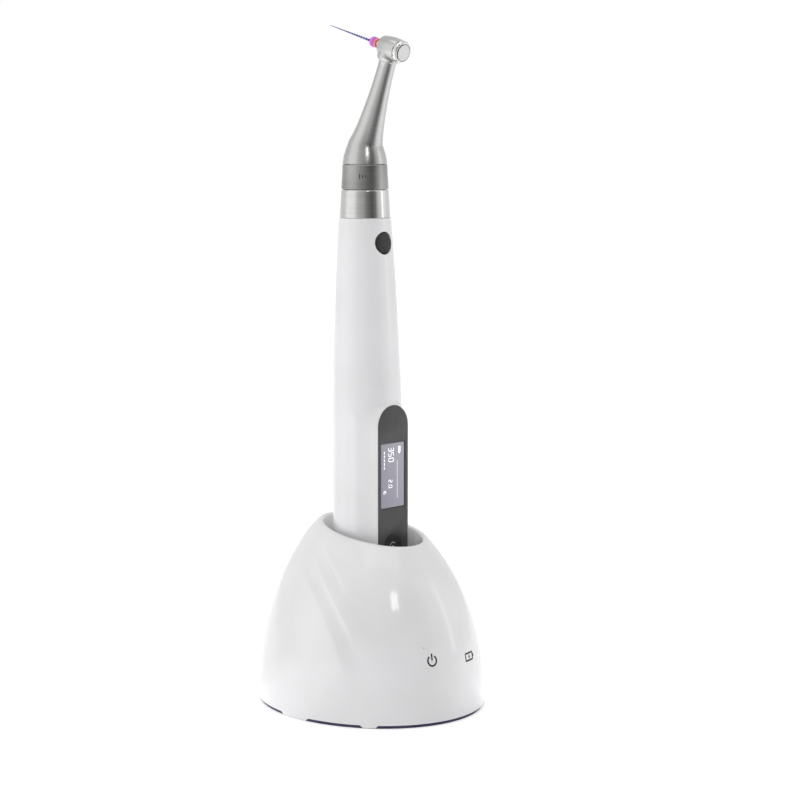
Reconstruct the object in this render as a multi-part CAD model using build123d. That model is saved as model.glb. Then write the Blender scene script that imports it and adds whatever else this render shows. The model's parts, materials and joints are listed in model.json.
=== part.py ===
from build123d import *
import os
from math import cos, radians, sin, sqrt

# A cordless root-canal handpiece, with its contra-angle and file, standing in a domed charging base.
# Millimetres, +Z up. The display faces -Y, the file points to +Y, and X = 0 is the plane of symmetry.
# The origin is the middle of the base's underside.

# Charging base
base_half_width = 36.6
base_half_depth = 41.7
dome_crown = 70.5          # height at which the dome's curve would close
dome_lean = 2.0            # how far the section at dome_lean_height stands back
dome_lean_height = 57.0
dome_bend = 2.2            # exponents of the dome's outline
dome_round = 0.625
shell_wall = 2.2
foot_height = 1.2
foot_inset = 0.9
plate_thickness = 2.0
rim_tilt = 8.64            # degrees, the rim rises to the back
lip_width = 1.4
mouth_play = 2.2           # from the handpiece's side to the mouth of the well
mouth_depth_extra = 5.3    # the mouth is that much longer than it is wide
mouth_y = -1.2
well_top = 50.0            # the mouth's funnel ends here and the liner begins
skirt_bottom = 42.0        # lower edge of the shell's collar round the liner
liner_wall = 1.6
liner_floor = 2.0
liner_side_play = 1.1
liner_back_play = 0.4
liner_front_gap = 4.6      # room in front of the display panel
slip_fit = 0.1
board_thickness = 1.6
board_z = 4.2
base_board_half_width = 15.0
base_board_front = -34.0
base_board_back = 33.0
ballast_bottom = 8.0
ballast_height = 8.0
ballast_side_gap = 9.6     # from the base's outline to the ballast
ballast_end_gap = 13.2
boss_radius = 3.2
boss_side_gap = 14.6       # from the base's outline to the middle of a screw boss
boss_end_gap = 15.7
screw_radius = 1.25
screw_length = 9.0
screw_head_radius = 2.5
screw_head_height = 1.2
pin_pitch = 8.0
pin_radius = 0.75
pin_travel = 0.5
light_pipe_x = (-10.4, 9.4)
light_pipe_side = 2.4
light_pipe_z = 25.0
light_pipe_skin = 0.8      # wall left in front of each light pipe
inlet_z = 9.8
inlet_bore_radius = 2.8
inlet_pin_radius = 1.0
inlet_barrel_radius = 3.5

# Handpiece
tail_z = 12.0              # underside of the handpiece in its base
tail_radius = 12.2
tail_y = 1.0
tail_cap_height = 8.0
tail_round = 3.0
grip_top = 54.0
shell_top = 166.2
nose_radius = 8.75
nose_y = 2.35
case_wall = 1.5
panel_y = -10.93           # plane of the display panel
panel_half_width = 7.2
panel_top = 103.5
panel_bottom = 34.0
panel_rim = 0.25
console_slope = 29.0       # degrees, flare of the console's side walls
lens_thickness = 1.25
ledge_width = 0.8
screen_z = 79.5
lcd_half_height = 12.5
key_heights = (55.0, 43.0)
key_radius = 4.0
key_travel = 0.4
key_stand = 0.22           # how far a key stands out of the panel
button_drop = 8.3          # from the top of the shell to the middle of the power button
button_radius = 3.7
button_play = 0.15
battery_radius = 9.0
battery_length = 50.0
battery_z = 38.0
motor_radius = 6.5
motor_drop = 44.2          # from the top of the shell to the motor's underside
motor_length = 26.0
motor_shaft_radius = 1.0
rotor_radius = 4.8
running_fit = 0.05
collar_height = 9.5
collar_foot_radius = 8.45
collar_head_radius = 8.0
nose_tube_radius = 5.5
nose_tube_length = 5.3     # above the collar
nose_bore_radius = 3.2
lead_socket_z = 29.0
lead_socket_radius = 2.4

# Contra-angle
band_height = 8.5
band_top_radius = 7.57
band_bore_radius = 6.45
neck_tilt = 20.8           # degrees, towards the display side
knee_height = 5.25         # the neck's tilt starts this far above the band
neck_length = 35.19        # from the knee to the head's axis
head_rise = 16.2           # degrees, the head's axis rises towards the file
head_radius = 3.92
head_front_radius = 3.4    # the barrel narrows towards its front
head_front = 3.83          # distances along the head's axis, from where the neck's axis meets it
barrel_back = -4.2
barrel_back_radius = 3.77
head_back = -5.9
cap_end_radius = 3.3
head_bore_radius = 3.0
cap_bore_radius = 3.35     # wider part of the bore, for the rear bearing and the push button
cap_bore_depth = 2.7
head_button_radius = 2.9
head_button_face = -6.1
head_button_travel = 0.7
boss_length = 4.6          # neck's rounded boss, measured down from the head's axis
neck_boss_radius = 4.0
neck_foot_radius = 3.2
planet_teeth = 12
sun_teeth = 12
planet_module = 0.3
planet_count = 3
gear_drop = 1.7            # from the top of the band to the underside of the planetary gears
gear_height = 2.4
knee_teeth = 16
knee_cone = 2.75
pinion_teeth = 6
crown_teeth = 24
head_cone = 2.88
spindle_radius = 1.8
neck_shaft_radius = 0.7
neck_bore_radius = 1.6

# File
shank_radius = 1.175
shank_back = -2.2
shank_front = 7.4
blade_start = 10.2
blade_tip = 30.17
blade_radius = 0.5
tip_radius = 0.12
blade_stem_radius = 0.4
stop_length = 2.1
stop_radius = 1.75
ring_radius = 1.65

# Places worked out from the sizes above
button_z = shell_top - button_drop
motor_bottom = shell_top - motor_drop
collar_top = shell_top + collar_height
nose_tube_top = collar_top + nose_tube_length
band_top = collar_top + band_height
knee_z = band_top + knee_height
gear_bottom = band_top - gear_drop
dome_mean = (base_half_width + base_half_depth) / 2
dome_spread = (base_half_depth - base_half_width) / 2
mouth_half_width = tail_radius + mouth_play
mouth_half_depth = mouth_half_width + mouth_depth_extra
plate_top = foot_height + plate_thickness
ballast_half_width = base_half_width - ballast_side_gap
ballast_half_depth = base_half_depth - ballast_end_gap
boss_x = base_half_width - boss_side_gap
boss_y = base_half_depth - boss_end_gap
board_top = board_z + board_thickness
panel_front_gap = panel_y - liner_front_gap
well_back = tail_y + tail_radius + liner_back_play
well_half_width = tail_radius + liner_side_play
well_half_depth = (well_back - panel_front_gap) / 2
well_y = (well_back + panel_front_gap) / 2
liner_bottom = tail_z - liner_floor
case_bottom = tail_z + tail_cap_height
planet_orbit = planet_module * (sun_teeth + planet_teeth) / 2
ring_teeth = sun_teeth + 2 * planet_teeth
ring_pitch_radius = planet_module * ring_teeth / 2
ring_outer_radius = ring_pitch_radius + 0.7
tilt = radians(neck_tilt)
rise = radians(head_rise)
neck_axis = Vector(0, -sin(tilt), cos(tilt))
head_axis = Vector(0, cos(rise), sin(rise))
knee = Vector(0, nose_y, knee_z)
crossing = knee + neck_axis * neck_length
nose = Pos(0, nose_y, 0)
neck = Plane(origin=knee, x_dir=(1, 0, 0), z_dir=neck_axis)
head = Plane(origin=crossing, x_dir=(1, 0, 0), z_dir=head_axis)


def save(shape, name):
    export_step(shape, f"parts/{name}.step")


# Cylinder along Z from one height to another
def rod(radius, bottom, top):
    return Pos(0, 0, bottom) * Cylinder(radius, top - bottom, align=(Align.CENTER, Align.CENTER, Align.MIN))


def tube(outer, inner, bottom, top):
    return rod(outer, bottom, top) - rod(inner, bottom, top)


# Solid of revolution about Z from (radius, height) points
def turned(*points):
    return revolve(Plane.XZ * make_face(Polyline(*points, close=True)), Axis.Z)


# Box between two corners
def block(low, high):
    size = [top - bottom for bottom, top in zip(low, high)]
    return Pos(*low) * Box(*size, align=(Align.MIN, Align.MIN, Align.MIN))


# Rod along Y from one y to another
def rod_y(radius, front, back, x, z):
    return Pos(x, 0, z) * Rot(X=-90) * rod(radius, front, back)


# Horizontal ellipse on a centre line, and an upright column of that section
def ellipse(half_width, half_depth, y, z):
    return Pos(0, y, z) * Ellipse(half_width, half_depth)


def column(half_width, half_depth, y, bottom, top):
    return extrude(ellipse(half_width, half_depth, y, bottom), top - bottom)


# The dome's mean radius at a height, and the height at which it has a radius
def dome_radius(z):
    return dome_mean * (1 - (z / dome_crown) ** dome_bend) ** dome_round


def dome_height(radius):
    return dome_crown * (1 - (radius / dome_mean) ** (1 / dome_round)) ** (1 / dome_bend)


def dome_slice(z, inset=0):
    radius = dome_radius(z) - inset
    centre = dome_lean * (z / dome_lean_height) ** 3
    return ellipse(radius - dome_spread, radius + dome_spread, centre, z)


def dome(top, inset=0):
    steps = (0, 0.2, 0.4, 0.58, 0.73, 0.84, 0.92, 1)
    return loft([dome_slice(foot_height + (top - foot_height) * step, inset) for step in steps])


rim_z = dome_height(mouth_half_width + lip_width + dome_spread)
rim_normal = (0, -sin(radians(rim_tilt)), cos(radians(rim_tilt)))
rim = Plane(origin=(0, mouth_y, rim_z), x_dir=(1, 0, 0), z_dir=rim_normal)


# Places of the four shell screws
def corners(x, y):
    return [(side * x, end * y) for side in (-1, 1) for end in (-1, 1)]


def screw(x, y, bottom, length):
    shaft = rod(screw_radius, bottom + screw_head_height, bottom + screw_head_height + length)
    cap = rod(screw_head_radius, bottom, bottom + screw_head_height)
    recess = Pos(0, 0, bottom) * extrude(RegularPolygon(1.1, 6), 0.7)
    return Pos(x, y, 0) * (shaft + cap - recess)


def light_pipe_end(x):
    z = light_pipe_z
    half_width = dome_radius(z) - dome_spread
    half_depth = dome_radius(z) + dome_spread
    return -half_depth * sqrt(1 - (x / half_width) ** 2) + light_pipe_skin


def light_pipe(x, play):
    half = light_pipe_side / 2 + play
    foot_y = light_pipe_end(x) + 4.6
    foot = block((x - half, foot_y - half, board_top), (x + half, foot_y + half, light_pipe_z))
    arm = block((x - half, light_pipe_end(x) - play, light_pipe_z - half),
                (x + half, foot_y + half, light_pipe_z + half))
    return foot + arm


def base_shell():
    top = dome_height(mouth_half_width + dome_spread - 3.5)
    body = dome(top)
    body -= rim * extrude(Rectangle(200, 200), 60)
    cavity = dome(rim_z - 7, shell_wall)
    collar = column(well_half_width + liner_wall + slip_fit + 2, well_half_depth + liner_wall + slip_fit + 2,
                    well_y, skirt_bottom, rim_z)
    bosses = [Pos(x, y, 0) * rod(boss_radius, plate_top, rim_z) for x, y in corners(boss_x, boss_y)]
    cavity -= [collar] + bosses
    body -= cavity
    body -= column(well_half_width + liner_wall + slip_fit, well_half_depth + liner_wall + slip_fit,
                   well_y, skirt_bottom - 1, well_top)
    mouth = rim * Ellipse(mouth_half_width, mouth_half_depth / cos(radians(rim_tilt)))
    body -= loft([ellipse(well_half_width, well_half_depth, well_y, well_top), mouth])
    body -= extrude(mouth, 10, dir=(0, 0, 1))
    for x, y in corners(boss_x, boss_y):
        body -= Pos(x, y, 0) * rod(screw_radius, plate_top, plate_top + screw_length + 1)
    for x in light_pipe_x:
        body -= light_pipe(x, slip_fit)
    body -= rod_y(inlet_barrel_radius + 0.2, base_half_depth - 10, base_half_depth + 5, 0, inlet_z)
    return body


def bottom_plate():
    half_width = base_half_width - shell_wall - 0.35
    half_depth = base_half_depth - shell_wall - 0.35
    plate = column(half_width, half_depth, 0, foot_height, plate_top)
    for x, y in corners(ballast_half_width - 6, 8):
        plate += Pos(x, y, 0) * rod(2.6, plate_top, ballast_bottom)
    for x, y in corners(base_board_half_width - 3, 24):
        plate += Pos(x, y, 0) * rod(2.2, plate_top, board_z)
        plate -= Pos(x, y, 0) * rod(0.8, foot_height + 0.6, board_z)
    for x, y in corners(boss_x, boss_y):
        sink = rod(screw_head_radius + slip_fit, foot_height, foot_height + screw_head_height)
        plate -= Pos(x, y, 0) * sink
        plate -= Pos(x, y, 0) * rod(screw_radius + slip_fit, foot_height, plate_top)
    return plate


def well_liner():
    outer = column(well_half_width + liner_wall, well_half_depth + liner_wall, well_y, liner_bottom, well_top)
    cup = outer - column(well_half_width, well_half_depth, well_y, tail_z, well_top)
    for side in (-1, 1):
        cup -= Pos(side * pin_pitch / 2, tail_y, 0) * rod(pin_radius + slip_fit, liner_bottom, tail_z)
    return cup


def ballast_weight():
    low = ballast_bottom
    high = ballast_bottom + ballast_height
    outer = column(ballast_half_width, ballast_half_depth, well_y, low, high)
    inner = column(well_half_width + liner_wall + 0.8, well_half_depth + liner_wall + 0.8, well_y, low, high)
    notch = block((-8, base_board_back - 12, low), (8, ballast_half_depth + 5, high))
    return outer - inner - notch


def base_circuit_board():
    board = block((-base_board_half_width, base_board_front, board_z),
                  (base_board_half_width, base_board_back, board_top))
    board += block((-11, -20, board_top), (-5, -14, board_top + 1))
    board += block((4, -19, board_top), (11, -14, board_top + 1.4))
    board += block((5, 11, board_top), (10, 18, board_top + 2))
    for x, y in corners(base_board_half_width - 3, 24):
        board -= Pos(x, y, 0) * rod(1.0, board_z, board_top)
    return board


def board_screw(x, y):
    cap = rod(1.7, board_top, board_top + 1.0)
    slot = block((-1.3, -0.2, board_top + 0.6), (1.3, 0.2, board_top + 1.0))
    return Pos(x, y, 0) * (cap + rod(0.8, board_top - 3.2, board_top) - slot)


def pin_block():
    carrier = block((-7.5, tail_y - 3.5, board_top), (7.5, tail_y + 3.5, liner_bottom))
    for side in (-1, 1):
        bore = rod(pin_radius + 0.3, board_top, liner_bottom - 0.5)
        bore += rod(pin_radius + 0.06, board_top, liner_bottom)
        carrier -= Pos(side * pin_pitch / 2, tail_y, 0) * bore
    return carrier


def charge_pin(side):
    tip = tail_z + 0.56
    flange = liner_bottom - 0.8 - pin_travel
    pin = fillet(rod(pin_radius, flange, tip).edges().sort_by(Axis.Z)[-1], 0.3)
    return Pos(side * pin_pitch / 2, tail_y, 0) * (pin + rod(pin_radius + 0.24, flange, flange + 0.8))


def charge_spring(side):
    flange = liner_bottom - 0.8 - pin_travel
    return Pos(side * pin_pitch / 2, tail_y, 0) * tube(pin_radius + 0.2, pin_radius - 0.2, board_top, flange)


# Round low-voltage jack: a box on the board, a barrel through the shell and a contact pin in its bore
def power_inlet():
    face = base_half_depth - 1.0
    body = block((-4.5, face - 13.5, board_top), (4.5, face - 2.6, inlet_z + 4))
    body += rod_y(inlet_barrel_radius, face - 3, face, 0, inlet_z)
    body -= rod_y(inlet_bore_radius, face - 9.5, face, 0, inlet_z)
    return body + rod_y(inlet_pin_radius, face - 10, face - 1, 0, inlet_z)


# The case is straight up to grip_top, then narrows and leans back. Each station gives the share of the
# length above grip_top, the share of the flare that is left and the share of the lean.
case_stations = ((0, 1, 0), (0.12, 0.995, 0.03), (0.23, 0.971, 0.1), (0.44, 0.878, 0.25),
                 (0.66, 0.646, 0.6), (0.87, 0.284, 0.84), (1, 0, 1))


def case_body(inset=0):
    slices = []
    for along, flare, lean in case_stations:
        z = grip_top + (shell_top - grip_top) * along
        radius = nose_radius + (tail_radius - nose_radius) * flare - inset
        slices.append(Pos(0, tail_y + (nose_y - tail_y) * lean, z) * Circle(radius))
    return Pos(0, tail_y, 0) * rod(tail_radius - inset, case_bottom, grip_top) + loft(slices)


# Round-ended upright window in a plane of constant y, seen from the front
def window(half_width, y, top, bottom):
    height = top - bottom
    face = Plane(origin=(0, y, (top + bottom) / 2), x_dir=(1, 0, 0), z_dir=(0, -1, 0))
    return face * SlotOverall(height, 2 * half_width, rotation=90)


def through_window(half_width, front, back, top, bottom):
    return extrude(window(half_width, front, top, bottom), back - front, dir=(0, 1, 0))


def console():
    frame_half = panel_half_width + panel_rim
    face = window(frame_half, panel_y, panel_top + panel_rim, panel_bottom - panel_rim)
    return extrude(face, -5.5, taper=-console_slope)


def handpiece_shell():
    shell = case_body() + console()
    shell -= case_body(case_wall)
    shell -= through_window(panel_half_width, panel_y - 3, lens_back, panel_top, panel_bottom)
    shell -= through_window(panel_half_width - ledge_width, panel_y, tail_y - 6, panel_top - ledge_width,
                            panel_bottom + ledge_width)
    shell -= rod_y(button_radius + button_play, -15, 0, 0, button_z)
    shell -= rod_y(lead_socket_radius + slip_fit, 5, 15, 0, lead_socket_z)
    return shell


def tail_cap():
    height = case_bottom - tail_z
    cap = rod(tail_radius, tail_z, case_bottom)
    cap = fillet(cap.edges().sort_by(Axis.Z)[0], tail_round)
    spigot = tail_radius - case_wall - slip_fit
    cap += rod(spigot, case_bottom, case_bottom + height / 2)
    cap -= rod(spigot - 1.4, tail_z + 2, case_bottom + height / 2)
    for side in (-1, 1):
        cap -= Pos(side * pin_pitch / 2, 0, 0) * rod(1.6, tail_z, tail_z + 2)
        cap -= Pos(side * pin_pitch / 2, 0, 0) * rod(2.2, tail_z + 0.6, tail_z + 2)
    return Pos(0, tail_y, 0) * cap


def contact_pads():
    pads = [Pos(side * pin_pitch / 2, tail_y, 0) * rod(2.2, tail_z + 0.6, tail_z + 1.6) for side in (-1, 1)]
    return Compound(children=pads)


battery_y = tail_y + tail_radius - case_wall - battery_radius - 0.3


def battery():
    low = battery_z
    high = battery_z + battery_length
    cell = turned((0, low), (battery_radius - 0.4, low), (battery_radius, low + 0.4),
                  (battery_radius, high - 0.4), (battery_radius - 0.4, high), (3, high), (3, high + 1.2),
                  (0, high + 1.2))
    return Pos(0, battery_y, 0) * cell


# Plane of each layer behind the display panel
lens_front = panel_y + 0.03
lens_back = panel_y + lens_thickness
lcd_back = lens_back + 1.4
main_board_front = lcd_back + 0.1
main_board_back = main_board_front + 1.0
core_half_width = panel_half_width - ledge_width - 0.3


def display_lens():
    lens = through_window(panel_half_width - running_fit, lens_front, lens_back, panel_top - running_fit,
                          panel_bottom + running_fit)
    for z in key_heights:
        lens -= rod_y(key_radius + 0.1, lens_front, lens_back, 0, z)
    return lens


def lcd_module():
    return block((-core_half_width, lens_back + 0.05, screen_z - lcd_half_height),
                 (core_half_width, lcd_back, screen_z + lcd_half_height))


def main_circuit_board():
    board = block((-core_half_width, main_board_front, panel_bottom + 6),
                  (core_half_width, main_board_back, panel_top - 6.2))
    chip_back = main_board_back + 0.3
    return board + block((-3, main_board_back, 90), (3, chip_back, 96))


def key_switch(z):
    return block((-2, main_board_front - 0.5, z - 2), (2, main_board_front, z + 2))


def dimpled_key(z):
    front = panel_y - key_stand
    back = main_board_front - 0.5 - key_travel - 0.05
    key = rod_y(key_radius, front, back, 0, z) + rod_y(key_radius + 0.6, lens_back + 0.05, back, 0, z)
    dish = Pos(0, front - 11.7, z) * Sphere(12)
    return key - dish


case_front_at_button = nose_y - nose_radius - 0.55


def power_button():
    flange = nose_y - 6.35
    button = rod_y(button_radius, case_front_at_button, flange, 0, button_z)
    button = fillet(button.edges().sort_by(Axis.Y)[0], 0.4)
    return button + rod_y(button_radius + 0.6, flange, flange + 0.5, 0, button_z)


def button_board():
    front = nose_y - 6.35 + 0.5 + key_travel + 0.05
    board = block((-4.5, front + 0.6, button_z - 4.9), (4.5, front + 1.4, button_z + 4.6))
    return board + block((-2, front, button_z - 2), (2, front + 0.6, button_z + 2))


def motor_can():
    top = motor_bottom + motor_length
    can = rod(motor_radius, motor_bottom, top) - rod(motor_radius - 0.8, motor_bottom + 1.2, top - 1.2)
    return nose * (can - rod(motor_shaft_radius + running_fit, motor_bottom, top))


# Rotor, its long shaft and the square socket that drives the contra-angle
def motor_rotor():
    claw_bottom = collar_top - 4.5
    shaft = rod(motor_shaft_radius, motor_bottom - 1, claw_bottom + 0.5)
    rotor = rod(rotor_radius, motor_bottom + 3, motor_bottom + motor_length - 3)
    claw = rod(nose_bore_radius - 0.6, claw_bottom, collar_top - 0.7)
    claw -= Pos(0, 0, claw_bottom + 0.8) * extrude(Rectangle(2.5, 2.5), 5)
    return nose * (shaft + rotor + claw)


def motor_mount():
    top = motor_bottom + motor_length
    plate = rod(motor_radius + 1.3, top, top + 2) - rod(motor_shaft_radius + 1, top, top + 2)
    return nose * plate


def nose_collar():
    spigot = nose_radius - case_wall - slip_fit
    collar = turned((0, shell_top - 3), (spigot, shell_top - 3), (spigot, shell_top),
                    (collar_foot_radius, shell_top), (collar_foot_radius, shell_top + 0.6),
                    (collar_head_radius, collar_top - 0.4),
                    (collar_head_radius - 0.3, collar_top), (nose_tube_radius, collar_top),
                    (nose_tube_radius, nose_tube_top - 0.4), (nose_tube_radius - 0.4, nose_tube_top),
                    (0, nose_tube_top))
    collar -= rod(nose_bore_radius, shell_top - 3, nose_tube_top)
    collar -= rod(nose_bore_radius + 0.4, shell_top - 3, shell_top + 3.8)
    groove = tube(nose_tube_radius + 0.1, nose_tube_radius - 0.35, nose_tube_top - 1.6, nose_tube_top - 0.7)
    return nose * (collar - groove)


def shaft_bearing():
    inner = motor_shaft_radius + running_fit
    return nose * tube(nose_bore_radius + 0.4, inner, shell_top + 0.8, shell_top + 3.8)


def nose_o_ring():
    return nose * Pos(0, 0, nose_tube_top - 1.15) * Torus(nose_tube_radius + 0.05, 0.38)


def lead_socket():
    face = tail_y + tail_radius - 0.25
    socket = rod_y(lead_socket_radius, face - 6.5, face, 0, lead_socket_z)
    return socket - rod_y(1.3, face - 5.5, face, 0, lead_socket_z)


index_bottom = collar_top + 0.5
index_top = collar_top + 3.3
index_outer = band_bore_radius - 0.15


# Six notches set where the contra-angle's key may sit
def index_ring():
    ring = tube(index_outer, nose_tube_radius + running_fit, index_bottom, index_top)
    for step in range(6):
        notch = block((-0.9, index_outer - 0.45, index_bottom), (0.9, index_outer + 1, index_top))
        ring -= Rot(Z=60 * step) * notch
    return nose * ring


web_bottom = nose_tube_top + 0.4
web_top = web_bottom + 0.8


def ratio_sleeve():
    low = collar_top + 0.1
    sleeve = turned((0, low), (collar_head_radius - 0.35, low), (collar_head_radius - 0.02, low + 0.4),
                    (collar_head_radius - 0.28, low + 4.5), (band_top_radius, band_top), (0, band_top))
    sleeve -= rod(band_bore_radius, low, web_bottom)
    sleeve -= rod(2.0, web_bottom, web_top)
    sleeve -= rod(ring_outer_radius, web_top, band_top)
    key = block((-0.8, index_outer - 0.3, index_bottom), (0.8, band_bore_radius + 0.2, index_top))
    return nose * (sleeve + key)


def input_bush():
    return nose * tube(2.0, 0.9 + running_fit, web_bottom, web_top)


# Straight-flanked spur gear about Z, with a tooth at the given angle
def spur_gear(teeth, module, height, turn=0):
    pitch_radius = teeth * module / 2
    gear = rod(pitch_radius - 0.95 * module, 0, height)
    root = pitch_radius - 1.1 * module
    tip = pitch_radius + 0.6 * module
    outline = Polyline((root, -0.75 * module), (tip, -0.3 * module), (tip, 0.3 * module),
                       (root, 0.75 * module), close=True)
    tooth = extrude(make_face(outline), height)
    return gear + [Rot(Z=turn + 360 * step / teeth) * tooth for step in range(teeth)]


def ring_gear():
    tip = ring_pitch_radius - 0.6 * planet_module
    root = ring_pitch_radius + 1.1 * planet_module
    outline = Polyline((tip, -0.28 * planet_module), (root, -0.75 * planet_module),
                       (root, 0.75 * planet_module), (tip, 0.28 * planet_module), close=True)
    tooth = extrude(make_face(outline), gear_height + 0.3)
    ring = tube(ring_outer_radius, ring_pitch_radius + 0.95 * planet_module, 0, gear_height + 0.3)
    ring += [Rot(Z=360 * step / ring_teeth) * tooth for step in range(ring_teeth)]
    return nose * Pos(0, 0, gear_bottom - 0.1) * ring


def input_shaft():
    shaft = rod(0.9, collar_top - 0.5, gear_bottom)
    tang = Pos(0, 0, collar_top - 3.5) * extrude(Rectangle(1.6, 1.6), 3.2)
    sun = Pos(0, 0, gear_bottom) * spur_gear(sun_teeth, planet_module, gear_height)
    return nose * (shaft + tang + sun)


def planet_gear(number):
    half_pitch = 180 / planet_teeth
    gear = spur_gear(planet_teeth, planet_module, gear_height, half_pitch) - rod(0.6, 0, gear_height)
    return nose * Rot(Z=360 * number / planet_count) * Pos(planet_orbit, 0, gear_bottom) * gear


# Bevel gear with its pitch cone's apex at the origin and its axis along +Z, a tooth over +X when turn is 0
def bevel_gear(teeth, half_angle, cone, face, thickness, turn=0):
    module = 2 * cone * sin(half_angle) / teeth
    depth = 1.05 * module
    height = 0.6 * module
    shrink = (cone - face) / cone
    root_radius = cone * sin(half_angle) - depth * cos(half_angle)
    root_height = cone * cos(half_angle) + depth * sin(half_angle)
    back = root_height + thickness
    blank = turned((0, root_height * shrink), (root_radius * shrink, root_height * shrink),
                   (root_radius, root_height), (root_radius, back), (0, back))
    normal = Vector(cos(half_angle), 0, -sin(half_angle))
    outline = make_face(Polyline((-1.15 * depth, -0.75 * module), (height, -0.3 * module),
                                 (height, 0.3 * module), (-1.15 * depth, 0.75 * module), close=True))
    big = Plane(origin=(cone * sin(half_angle), 0, cone * cos(half_angle)), x_dir=normal,
                z_dir=(sin(half_angle), 0, cos(half_angle)))
    small = Plane(origin=big.origin * shrink, x_dir=normal, z_dir=big.z_dir)
    tooth = loft([big * outline, small * scale(outline, shrink)], ruled=True)
    return blank + [Rot(Z=turn + 360 * step / teeth) * tooth for step in range(teeth)]


# Places a bevel gear: its axis out of the apex, and the direction of the gear that it meets
def gear_plane(apex, axis, partner):
    return Plane(origin=apex, x_dir=(partner - axis * partner.dot(axis)).normalized(), z_dir=axis)


knee_half_angle = radians(90 - neck_tilt / 2)
gears_angle = radians((-neck_axis).get_angle(head_axis))
ratio = crown_teeth / pinion_teeth
pinion_half_angle = radians(Vector(ratio + cos(gears_angle), sin(gears_angle), 0).get_angle(Vector(1, 0, 0)))
crown_half_angle = gears_angle - pinion_half_angle
carrier_bottom = gear_bottom + gear_height + 0.3


def planet_carrier():
    carrier = rod(planet_orbit + 1.2, carrier_bottom, carrier_bottom + 1)
    carrier += rod(1.2, carrier_bottom, knee_z - 1.2)
    pin = Pos(planet_orbit, 0, 0) * rod(0.55, gear_bottom, carrier_bottom)
    for step in range(planet_count):
        carrier += Rot(Z=360 * step / planet_count) * pin
    down = Vector(0, 0, -1)
    gear = bevel_gear(knee_teeth, knee_half_angle, knee_cone, 1.0, 0.6)
    return nose * carrier + gear_plane(knee, down, neck_axis) * gear


def neck_shaft():
    shaft = rod(neck_shaft_radius, 1.2, neck_length - 2.9) + rod(1.2, 1.2, 3.2)
    big = bevel_gear(knee_teeth, knee_half_angle, knee_cone, 1.0, 0.6, 180 / knee_teeth)
    pinion = bevel_gear(pinion_teeth, pinion_half_angle, head_cone, 0.7, 0.4)
    placed = gear_plane(crossing, -neck_axis, head_axis) * pinion
    return neck * shaft + gear_plane(knee, neck_axis, Vector(0, 0, -1)) * big + placed


def spindle():
    body = tube(spindle_radius, shank_radius + 0.025, shank_back - 0.1, head_front - 0.25)
    body += rod(spindle_radius, rear_seat - 1.5, shank_back - 0.1)
    gear = bevel_gear(crown_teeth, crown_half_angle, head_cone, 0.7, 0.5, 180 / crown_teeth)
    gear -= rod(spindle_radius - 0.2, -1, 5)
    return head * body + gear_plane(crossing, head_axis, -neck_axis) * gear


front_skin = 1.1
rear_seat = barrel_back + cap_bore_depth


def spindle_bearings():
    inner = spindle_radius + running_fit
    front_end = head_front - front_skin
    front = tube(head_bore_radius, inner, front_end - 1, front_end)
    rear = tube(cap_bore_radius, inner, rear_seat - 1.5, rear_seat)
    return Compound(children=[head * front, head * rear])


def neck_bushes():
    inner = neck_shaft_radius + running_fit
    return Compound(children=[neck * tube(neck_bore_radius, inner, low, low + 2.5) for low in (6, 27)])


# Shoulder, slim neck, rounded boss and tapered barrel in one piece
def head_body():
    shoulder = turned((0, band_top), (band_top_radius, band_top), (band_top_radius - 0.43, band_top + 2.7),
                      (band_top_radius - 1.02, band_top + 4.7), (band_top_radius - 1.67, band_top + 6.5),
                      (band_top_radius - 2.37, band_top + 8.1), (0, band_top + 8.8))
    neck_curve = Spline((band_top_radius - 1.57, 1), (5.24, 3.7), (4.48, 8), (3.97, 12.3), (3.2, 20.7),
                        (2.85, 29.3), (2.85, neck_length - 1.5))
    start = neck_curve @ 0
    end = neck_curve @ 1
    sides = Polyline((end.X, end.Y), (0, end.Y), (0, start.Y), (start.X, start.Y))
    body = nose * shoulder + neck * revolve(Plane.XZ * make_face([neck_curve, sides]), Axis.Z)
    boss = turned((0, -2.4), (neck_boss_radius, -2.4), (neck_boss_radius, -3.2),
                  (neck_boss_radius - 0.3, -4.0), (neck_foot_radius, -boss_length), (0, -boss_length))
    body += neck * Pos(0, 0, neck_length) * boss
    barrel = turned((0, barrel_back), (barrel_back_radius, barrel_back), (head_radius, -2.2),
                    (head_radius, -0.25), (head_front_radius + 0.19, 2.5),
                    (head_front_radius, head_front - 0.2),
                    (head_front_radius - 0.25, head_front), (0, head_front))
    body += head * barrel
    body -= nose * (rod(ring_outer_radius, band_top, gear_bottom + gear_height + 0.2)
                    + rod(planet_orbit + 1.6, gear_bottom + gear_height, knee_z - 2.2))
    body -= neck * (rod(3.9, -3, 2.4) + rod(neck_bore_radius, 2, neck_length))
    body -= head * (rod(cap_bore_radius, barrel_back, rear_seat)
                    + rod(head_bore_radius, barrel_back, head_front - front_skin)
                    + rod(spindle_radius + running_fit, 0, head_front))
    return body


def head_cap():
    cap = turned((0, head_back), (cap_end_radius, head_back), (cap_end_radius + 0.3, head_back + 0.4),
                 (barrel_back_radius, head_back + 0.8), (barrel_back_radius, barrel_back), (0, barrel_back))
    cap -= rod(head_button_radius + 0.1, head_back, barrel_back)
    return head * (cap - rod(cap_bore_radius, button_flange, barrel_back))


button_flange = head_back + 1.0
flange_thickness = 0.5
spring_seat = button_flange + flange_thickness


def head_button():
    face = fillet(rod(head_button_radius, head_button_face, button_flange).edges().sort_by(Axis.Z)[0], 0.3)
    flange = rod(cap_bore_radius - 0.1, button_flange, spring_seat)
    pusher = rod(1, button_flange, rear_seat - 1.5 - head_button_travel)
    return head * (face + flange + pusher)


def button_spring():
    return head * tube(cap_bore_radius - 0.15, cap_bore_radius - 0.65, spring_seat, rear_seat - 1.5)


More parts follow.
